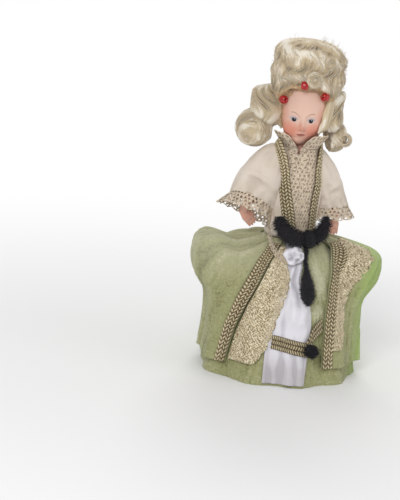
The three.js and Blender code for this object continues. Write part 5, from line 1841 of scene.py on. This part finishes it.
def tufted(surface, count, chance, length):
    """Fibres that stand off a round form, leaning every way."""
    lines = []
    for _ in range(count):
        around = chance.random()
        share = lerp(0.01, 0.99, chance.random())
        foot = surface(around, share)
        middle = (foot + surface(around + 0.5, share)) * 0.5
        out = (foot - middle).normalized()
        lean = Vector((chance.uniform(-1, 1), chance.uniform(-1, 1), chance.uniform(-1, 0.6))) * 0.75
        reach = length * lerp(0.45, 1.35, chance.random() ** 1.4)
        start = middle.lerp(foot, 0.7)
        bend = foot + (out + lean * 0.4) * (reach * 0.45)
        tip = foot + (out + lean).normalized() * reach
        lines.append(([start, bend, tip], [1, 0.8, 0.25]))
    return lines


# Each loop of the bow from the knot to its tip: across, forward of the knot, height above the waist.
LEFT_LOOP = [(4.5, 0, 1), (9, -0.4, 2), (11.8, 0, 6.5), (12.6, 0.6, 12.6)]
RIGHT_LOOP = [(3.5, 0, 0.8), (-2.5, -0.6, 0.8), (-8.4, -0.2, 3.4), (-11.8, 0.4, 8), (-12.8, 0.8, 11.8)]


def bow_loop(places, radii):
    points = [Vector((x, BOW_Y + y, WAIST_Z + z)) for x, y, z in places]
    return tube(points, radii)


def bow_knot():
    points = [Vector((BOW_X, BOW_Y - 0.4, WAIST_Z + 0.6 + z)) for z in (-4.6, -1.6, 1.6, 4.6)]
    return tube(points, [0.2, 3.6, 4.1, 3.6, 0.2])


def bow_tail():
    places = [(10, 0.12), (10, 0.17), (8, 0.22), (5, 0.275), (4, 0.31)]
    points = [raised(under_at, math.radians(turn), share, OVER_PANEL + 1.9) for turn, share in places]
    points[0].z = WAIST_Z - 4.4
    return tube(points, [0.2, 0.9, 0.9, 0.9, 0.2])


def bow_tassel():
    shares = (0.29, 0.37, 0.45, 0.52, 0.575)
    points = [raised(under_at, math.radians(3.5), share, OVER_PANEL + 3.9) for share in shares]
    return tube(points, [0.2, 1.6, 2.8, 3.5, 3.1, 0.2])


def hem_rosette():
    centre = raised(under_at, math.radians(6), 0.81, OVER_PANEL + 3.4)
    points = [centre + Vector((0, 0, z)) for z in (-3.4, -1.1, 1.1, 3.4)]
    return tube(points, [0.2, 2.3, 2.8, 2.3, 0.2])


def make_braid(node, surface, grid, centre, plaits):
    """A plaited gold braid that stands for a node and is named after it."""
    braid = formed(node + "_plait", surface, grid, centre, plait_relief(BRAID_CABLES, plaits))
    gold = gold_braid(node + "_gold", 2.0 * BRAID_CABLES, float(plaits))
    settle(braid, "figure", gold, [node])
    thicken(braid, BRAID_THICKNESS * MM)


# Operators
class DollOperator:
    """What every maker of pieces shares."""
    bl_options = {"REGISTER"}

    def execute(self, context):
        self.make(context)
        return {"FINISHED"}


class DOLL_OT_make_figure(DollOperator, bpy.types.Operator):
    """Make the celluloid head, arms and legs and finish the stringing"""
    bl_idname = "doll.make_figure"
    bl_label = "Make Figure"

    def make(self, context):
        face = celluloid_face()
        flesh = celluloid()
        head = formed("head_skin", head_point, GRIDS["head"], (0, -HEAD_FORWARD, HEAD_Z), turned=True)
        settle(head, "head", face, ["head_shell"])
        neck = formed("neck", neck_point, GRIDS["neck"], (0, 0, CHIN_Z), turned=True)
        settle(neck, "head", flesh)
        for which in SIDES:
            arm = smoothed_copy(which + "_arm_skin", which + "_arm", ARM_VOXEL * MM)
            settle(arm, which + "_arm_body", flesh, [which + "_arm"])
            leg = smoothed_copy(which + "_leg_skin", which + "_leg", LEG_VOXEL * MM)
            settle(leg, which + "_leg_body", flesh, [which + "_leg"])
        elastic = covered_elastic()
        kept = {
            "torso_shell": flesh, "arm_elastic": elastic, "hip_elastic": elastic, "neck_elastic": elastic,
            "tension_hook": bent_wire(),
        }
        for node, material in kept.items():
            solid = frame_object(node)
            solid.data.materials.clear()
            solid.data.materials.append(material)


class DOLL_OT_make_wig(DollOperator, bpy.types.Operator):
    """Make the mohair wig: pompadour, curls, ringlet and laid hair"""
    bl_idname = "doll.make_wig"
    bl_label = "Make Wig"

    def make(self, context):
        sizes = context.scene.doll_sizes
        chance = random.Random(WIG_SEED)
        combed = mohair("mohair_pompadour", 110.0, 5.0, 1.1)
        # The curls' mohair is painted darker all over with deep, as shade.
        rolled = mohair("mohair_curl", 5.0, 80.0, 0.9, deep=0.16)
        hanging = mohair("mohair_hanging", 80.0, 3.0, 0.9, deep=0.14)
        laid = mohair("mohair_laid", 90.0, 4.0, 0.5)
        pale = loose_hair("mohair_pale", True)
        deep = loose_hair("mohair_deep", False)
        crown = formed(
            "pompadour_hair", pompadour_point, GRIDS["crown"], CROWN_MIDDLE, pompadour_relief, turned=True,
            comb=pompadour_comb)
        settle(crown, "head", combed, ["hair_pompadour"])
        cap = formed("laid_hair", cap_point, GRIDS["laid_hair"], (0, 0, HEAD_Z), cap_relief, turned=True)
        settle(cap, "head", laid, ["wig_cap"])
        thicken(cap, LAID_HAIR * MM)
        for name, sizing in CURLS.items():
            curl = formed(
                name + "_hair", lambda around, share: curl_at(name, math.tau * around, share),
                GRIDS["curl"], sizing[0], curl_relief(name), turned=True, comb=curl_comb(name))
            replaced = () if name == TEMPLE_LOCK else [name]
            settle(curl, "head", hanging if name in HANGING_CURLS else rolled, replaced)
        ringlet = strands("ringlet_hair", ringlet_lines(chance), 3 * sizes.hair_strand, turned=True)
        settle(ringlet, "head", deep, ["left_ringlet"])
        locks = []
        for name in CURLS:
            locks += curl_lines(name, sizes.curl_strands, chance)
        for number, place in enumerate(PINNED_CURLS, 1):
            middle = pinned_curl_place(place[0], place[1])[0]
            ring = formed(
                "pinned_curl_" + str(number), pinned_curl_point(*place), GRIDS["pinned_curl"], middle,
                turned=True)
            settle(ring, "head", laid)
            locks += pinned_curl_lines(*place, chance)
        locks += crown_lines(sizes.crown_strands, chance)
        chance.shuffle(locks)
        half = len(locks) // 2
        settle(strands("locks_pale", locks[:half], sizes.hair_strand, turned=True), "head", pale)
        settle(strands("locks_deep", locks[half:], sizes.hair_strand, turned=True), "head", deep)
        strays = strands("stray_hair", stray_lines(STRAY_HAIRS, chance), sizes.stray_strand, turned=True)
        settle(strays, "head", deep)
        fuzz = strands("hairline_fuzz", fuzz_lines(FUZZ_HAIRS, chance), sizes.stray_strand, turned=True)
        settle(fuzz, "head", hairline_fuzz())


class DOLL_OT_make_beads(DollOperator, bpy.types.Operator):
    """Make the red glass beads along the hairline"""
    bl_idname = "doll.make_beads"
    bl_label = "Make Beads"

    def make(self, context):
        glass = bead_glass()
        for name, (turn, level) in BEAD_PLACES.items():
            surface, centre = bead_point(math.radians(turn), level)
            bead = formed(name + "_glass", surface, GRIDS["bead"], centre, turned=True)
            settle(bead, "head", glass, [name])


class DOLL_OT_make_coat(DollOperator, bpy.types.Operator):
    """Make the coat's body and its two cape-like sleeves"""
    bl_idname = "doll.make_coat"
    bl_label = "Make Coat"

    def make(self, context):
        cloth = coat_cloth()
        thickness = context.scene.doll_sizes.cloth_thickness
        body = formed("coat", coat_point, GRIDS["coat"], COAT_MIDDLE, coat_relief)
        settle(body, "figure", cloth, ["coat_body"])
        declare_sheet(body, SHEET_LENGTHS["coat"])
        thicken(body, thickness)
        for which in SIDES:
            sleeve = formed(
                which + "_sleeve_cloth", sleeve_point(which), GRIDS["sleeve"], SLEEVE_MIDDLES[which],
                sleeve_relief(which))
            declare_sheet(sleeve, SHEET_LENGTHS["sleeve"])
            settle_on_arm(sleeve, which, cloth, which + "_sleeve", thickness)


class DOLL_OT_make_coat_trims(DollOperator, bpy.types.Operator):
    """Make the lace cuffs, collar and jabot and the two front braids"""
    bl_idname = "doll.make_coat_trims"
    bl_label = "Make Coat Trims"

    def make(self, context):
        thin = context.scene.doll_sizes.lace_thickness
        for which, side in SIDES.items():
            middle = cuff_rim(which)[0]
            scallops = CUFF_SCALLOPS[which]
            lace = formed(
                which + "_cuff_lace_ruffle", cuff_lace_point(which), (CUFF_COLUMNS * scallops, CUFF_ROWS),
                (side * middle.x, middle.y, middle.z))
            eyelets = eyelet_lace(which + "_cuff_eyelets", 2.6 * scallops, 4.0)
            settle_on_arm(lace, which, eyelets, which + "_cuff_lace", thin)
            surface = front_braid_point(which)
            make_braid(which + "_front_braid", surface, GRIDS["front_braid"], COAT_MIDDLE, FRONT_PLAITS)
        jabot = formed("jabot_lace", jabot_point, GRIDS["jabot"], COAT_MIDDLE, jabot_relief)
        ground = eyelet_lace("jabot_eyelets", 7.0, 21.0, edge=False, painted_shade_holes=True, loose=1.8)
        settle(jabot, "figure", ground, ["lace_jabot"])
        declare_sheet(jabot, SHEET_LENGTHS["jabot"])
        thicken(jabot, thin)
        collar = formed("collar_lace", collar_point, GRIDS["collar"], COLLAR_MIDDLE)
        rows = eyelet_lace("collar_eyelets", 34.0, 3.0, painted_shade_holes=True, loose=1.6)
        settle(collar, "figure", rows, ["lace_collar"])
        thicken(collar, thin, 1.0)
        edging = formed("coat_edge_lace", coat_edge_point, GRIDS["coat_edge"], WAIST_MIDDLE)
        settle(edging, "figure", eyelet_lace("coat_edge_eyelets", 14.0, 2.0))
        thicken(edging, thin)


class DOLL_OT_make_skirts(DollOperator, bpy.types.Operator):
    """Make the plush underskirt, the overskirt with its panniers and the waistband"""
    bl_idname = "doll.make_skirts"
    bl_label = "Make Skirts"

    def make(self, context):
        green = plush()
        thickness = context.scene.doll_sizes.plush_thickness
        skirts = {
            "underskirt": (underskirt_point, underskirt_relief),
            "overskirt": (overskirt_point, overskirt_relief),
        }
        for node, (surface, relief) in skirts.items():
            skirt = formed(node + "_plush", surface, GRIDS[node], SKIRT_MIDDLE, relief)
            settle(skirt, "figure", green, [node])
            declare_sheet(skirt, SHEET_LENGTHS[node])
            thicken(skirt, thickness)
        band = formed("waistband_satin", waistband_point, GRIDS["waistband"], WAIST_MIDDLE)
        settle(band, "figure", white_satin("waistband_satin", "coat"), ["waistband"])
        thicken(band, BAND_THICKNESS * MM)


class DOLL_OT_make_skirt_trims(DollOperator, bpy.types.Operator):
    """Make the satin panel and its knot, the gold lace and the gold braids of the skirts"""
    bl_idname = "doll.make_skirt_trims"
    bl_label = "Make Skirt Trims"

    def make(self, context):
        thin = context.scene.doll_sizes.lace_thickness
        satin = white_satin()
        panel = formed("panel_satin", panel_point, GRIDS["panel"], SKIRT_MIDDLE, panel_relief)
        settle(panel, "figure", satin, ["satin_panel"])
        declare_sheet(panel, SHEET_LENGTHS["panel"])
        thicken(panel, SATIN * MM)
        knot = formed("panel_knot_roll", knot_point, GRIDS["knot"], knot_centre(), knot_relief)
        settle(knot, "figure", satin, ["panel_knot"])
        for which, edge, inwards in (("left", EDGE_LEFT, 1), ("right", EDGE_RIGHT, -1)):
            surface = edge_braid_point(edge, inwards)
            make_braid(which + "_edge_braid", surface, GRIDS["edge_braid"], SKIRT_MIDDLE, EDGE_PLAITS)
        # Each gold lace: its surface, crossings over its width and its length, and what it lies on.
        laces = {
            "left": (left_lace_point, 9.0, 56.0, "overskirt_plush"),
            "right": (right_lace_point, 13.0, 54.0, "panel_satin"),
        }
        for which, (surface, across, rows, below) in laces.items():
            lace = formed(
                which + "_edge_lace_net", surface, GRIDS[which + "_lace"], SKIRT_MIDDLE, lace_relief)
            net = gold_lace(which + "_lace_gold", across, rows)
            settle(lace, "figure", net, [which + "_edge_lace"])
            declare_sheet(lace, SHEET_LENGTHS[which + "_lace"])
            thicken(lace, thin)
        hem = formed("hem_braid_plait", hem_braid_point, GRIDS["hem_braid"], SKIRT_MIDDLE, self.hem_relief())
        settle(hem, "figure", gold_braid("hem_braid_gold", 30.0, 8.0), ["hem_braid"])
        thicken(hem, BRAID_THICKNESS * MM)

    def hem_relief(self):
        upright = plait_relief(HEM_CABLES, HEM_PLAITS)
        return lambda across, band: upright(band, across)


class DOLL_OT_make_bow(DollOperator, bpy.types.Operator):
    """Make the black chenille bow, its tail and tassel and the rosette at the hem"""
    bl_idname = "doll.make_bow"
    bl_label = "Make Bow"

    def make(self, context):
        black = chenille()
        length = context.scene.doll_sizes.fibre_length / MM
        chance = random.Random(BOW_SEED)
        # Each form's surface, its number of fibres and their length as a share of the usual one.
        forms = {
            "bow_knot": (bow_knot(), 650, 1.5),
            "left_bow_loop": (bow_loop(LEFT_LOOP, [0.2, 2.6, 3.1, 3, 2.6, 2, 0.2]), 1000, 1.8),
            "right_bow_loop": (bow_loop(RIGHT_LOOP, [0.2, 3, 3.6, 3.7, 3.1, 2.2, 0.2]), 1200, 1.8),
            "bow_tail": (bow_tail(), 320, 0.7),
            "bow_tassel": (bow_tassel(), 760, 1.1),
            "hem_rosette": (hem_rosette(), 620, 1.6),
        }
        for node, (surface, count, share) in forms.items():
            middle = (surface(0, 0.5) + surface(0.5, 0.5)) * 0.5
            core = formed(node + "_core", surface, GRIDS["bow"], middle)
            settle(core, "figure", black, [node])
            tufts = tufted(surface, count, chance, length * share)
            fibres = strands(node + "_fibres", tufts, FIBRE_RADIUS * MM)
            settle(fibres, "figure", black)


class DOLL_OT_make_stage(DollOperator, bpy.types.Operator):
    """Make the pale floor, the soft light and the camera"""
    bl_idname = "doll.make_stage"
    bl_label = "Make Stage"

    def make(self, context):
        self.make_camera(context)
        self.make_floor(context)
        self.make_lights(context)
        context.scene.view_settings.view_transform = "Standard"

    def make_camera(self, context):
        back = Vector((
            math.sin(AZIMUTH) * math.cos(ELEVATION),
            -math.cos(AZIMUTH) * math.cos(ELEVATION),
            math.sin(ELEVATION)))
        right = Vector((math.cos(AZIMUTH), math.sin(AZIMUTH), 0))
        up = back.cross(right)
        rolled_right = right * math.cos(ROLL) + up * math.sin(ROLL)
        rolled_up = up * math.cos(ROLL) - right * math.sin(ROLL)
        shift_x = (AIM_PIXEL[0] - IMAGE[0] / 2) * METRES_PER_PIXEL
        shift_y = (IMAGE[1] / 2 - AIM_PIXEL[1]) * METRES_PER_PIXEL
        lens = bpy.data.cameras.new("camera")
        lens.sensor_width = SENSOR
        lens.lens = SENSOR * DISTANCE / (IMAGE[1] * METRES_PER_PIXEL)
        lens.clip_start = CLIP_START
        camera = bpy.data.objects.new("camera", lens)
        context.scene.collection.objects.link(camera)
        place = AIM_POINT + back * DISTANCE - rolled_right * shift_x - rolled_up * shift_y
        turn = Matrix((rolled_right, rolled_up, back)).transposed().to_4x4()
        camera.matrix_world = Matrix.Translation(place) @ turn
        context.scene.camera = camera

    def make_floor(self, context):
        shape = bmesh.new()
        bmesh.ops.create_grid(shape, x_segments=2, y_segments=2, size=FLOOR_SIZE)
        mesh = bpy.data.meshes.new("floor")
        shape.to_mesh(mesh)
        shape.free()
        floor = bpy.data.objects.new("floor", mesh)
        context.scene.collection.objects.link(floor)
        floor.data.materials.append(self.floor_paper())

    def floor_paper(self):
        """White paper that keeps the shadow near the doll and is lit evenly further away."""
        finish = Finish("floor_paper")
        place = finish.place()
        fleck = finish.noise(place, 60.0, 2.0)
        x, y = finish.parts(place)[:2]
        far = finish.step((x * x + y * y) ** 0.5, 0.1, 0.42)
        seen = finish.node("ShaderNodeLightPath", {}, {}, "Is Camera Ray")
        glow = finish.node("ShaderNodeEmission", {}, {"Color": (1, 1, 1, 1), "Strength": 1.0})
        paper = Value(finish, finish.shader.outputs["BSDF"])
        joined = finish.node("ShaderNodeMixShader", {}, {0: far * seen, 1: paper, 2: glow})
        finish.put(finish.tree.nodes["Material Output"].inputs["Surface"], joined)
        return finish.set(Base_Color=paint("floor"), Roughness=0.85 + fleck * 0.1)

    def make_lights(self, context):
        world = bpy.data.worlds.new("studio")
        world.use_nodes = True
        background = world.node_tree.nodes["Background"]
        background.inputs["Color"].default_value = (1, 1, 1, 1)
        seen = world.node_tree.nodes.new("ShaderNodeLightPath")
        strength = world.node_tree.nodes.new("ShaderNodeMapRange")
        strength.inputs["To Min"].default_value = SOFT_LIGHT
        strength.inputs["To Max"].default_value = 1.0
        world.node_tree.links.new(seen.outputs["Is Camera Ray"], strength.inputs["Value"])
        world.node_tree.links.new(strength.outputs["Result"], background.inputs["Strength"])
        context.scene.world = world
        # Each lamp's place in metres, size and power.
        lamps = {
            "key": ((-0.55, -0.85, 0.75), 0.5, 5.4),
            "fill": ((0.8, -0.6, 0.45), 0.6, 1.1),
            "rim": ((0.25, 0.8, 0.7), 0.5, 3.0),
        }
        for name, (spot, size, power) in lamps.items():
            light = bpy.data.lights.new(name, "AREA")
            light.size = size
            light.energy = power
            lamp = bpy.data.objects.new(name, light)
            context.scene.collection.objects.link(lamp)
            towards = LAMP_AIM - Vector(spot)
            facing = towards.to_track_quat("-Z", "Y").to_matrix().to_4x4()
            lamp.matrix_world = Matrix.Translation(spot) @ facing


MAKERS = (
    DOLL_OT_make_stage,
    DOLL_OT_make_figure,
    DOLL_OT_make_wig,
    DOLL_OT_make_beads,
    DOLL_OT_make_coat,
    DOLL_OT_make_coat_trims,
    DOLL_OT_make_skirts,
    DOLL_OT_make_skirt_trims,
    DOLL_OT_make_bow,
)


class DOLL_PT_maker(bpy.types.Panel):
    """Lists the makers of the doll's pieces with the sizes and colours they use"""
    bl_idname = "DOLL_PT_maker"
    bl_label = "Celluloid Doll"
    bl_space_type = "VIEW_3D"
    bl_region_type = "UI"
    bl_category = "Doll"

    def draw(self, context):
        for maker in MAKERS:
            self.layout.operator(maker.bl_idname)
        for group in (context.scene.doll_sizes, context.scene.doll_colours):
            box = self.layout.box()
            for key in group.__annotations__:
                box.prop(group, key)


CLASSES = (DollColours, DollSizes, *MAKERS, DOLL_PT_maker)


def register():
    for cls in CLASSES:
        bpy.utils.register_class(cls)
    bpy.types.Scene.doll_colours = bpy.props.PointerProperty(type=DollColours)
    bpy.types.Scene.doll_sizes = bpy.props.PointerProperty(type=DollSizes)


def unregister():
    del bpy.types.Scene.doll_sizes
    del bpy.types.Scene.doll_colours
    for cls in reversed(CLASSES):
        bpy.utils.unregister_class(cls)


def main():
    register()
    bpy.ops.doll.make_stage()
    bpy.ops.doll.make_figure()
    bpy.ops.doll.make_wig()
    bpy.ops.doll.make_beads()
    bpy.ops.doll.make_coat()
    bpy.ops.doll.make_coat_trims()
    bpy.ops.doll.make_skirts()
    bpy.ops.doll.make_skirt_trims()
    bpy.ops.doll.make_bow()


if __name__ == "__main__":
    main()
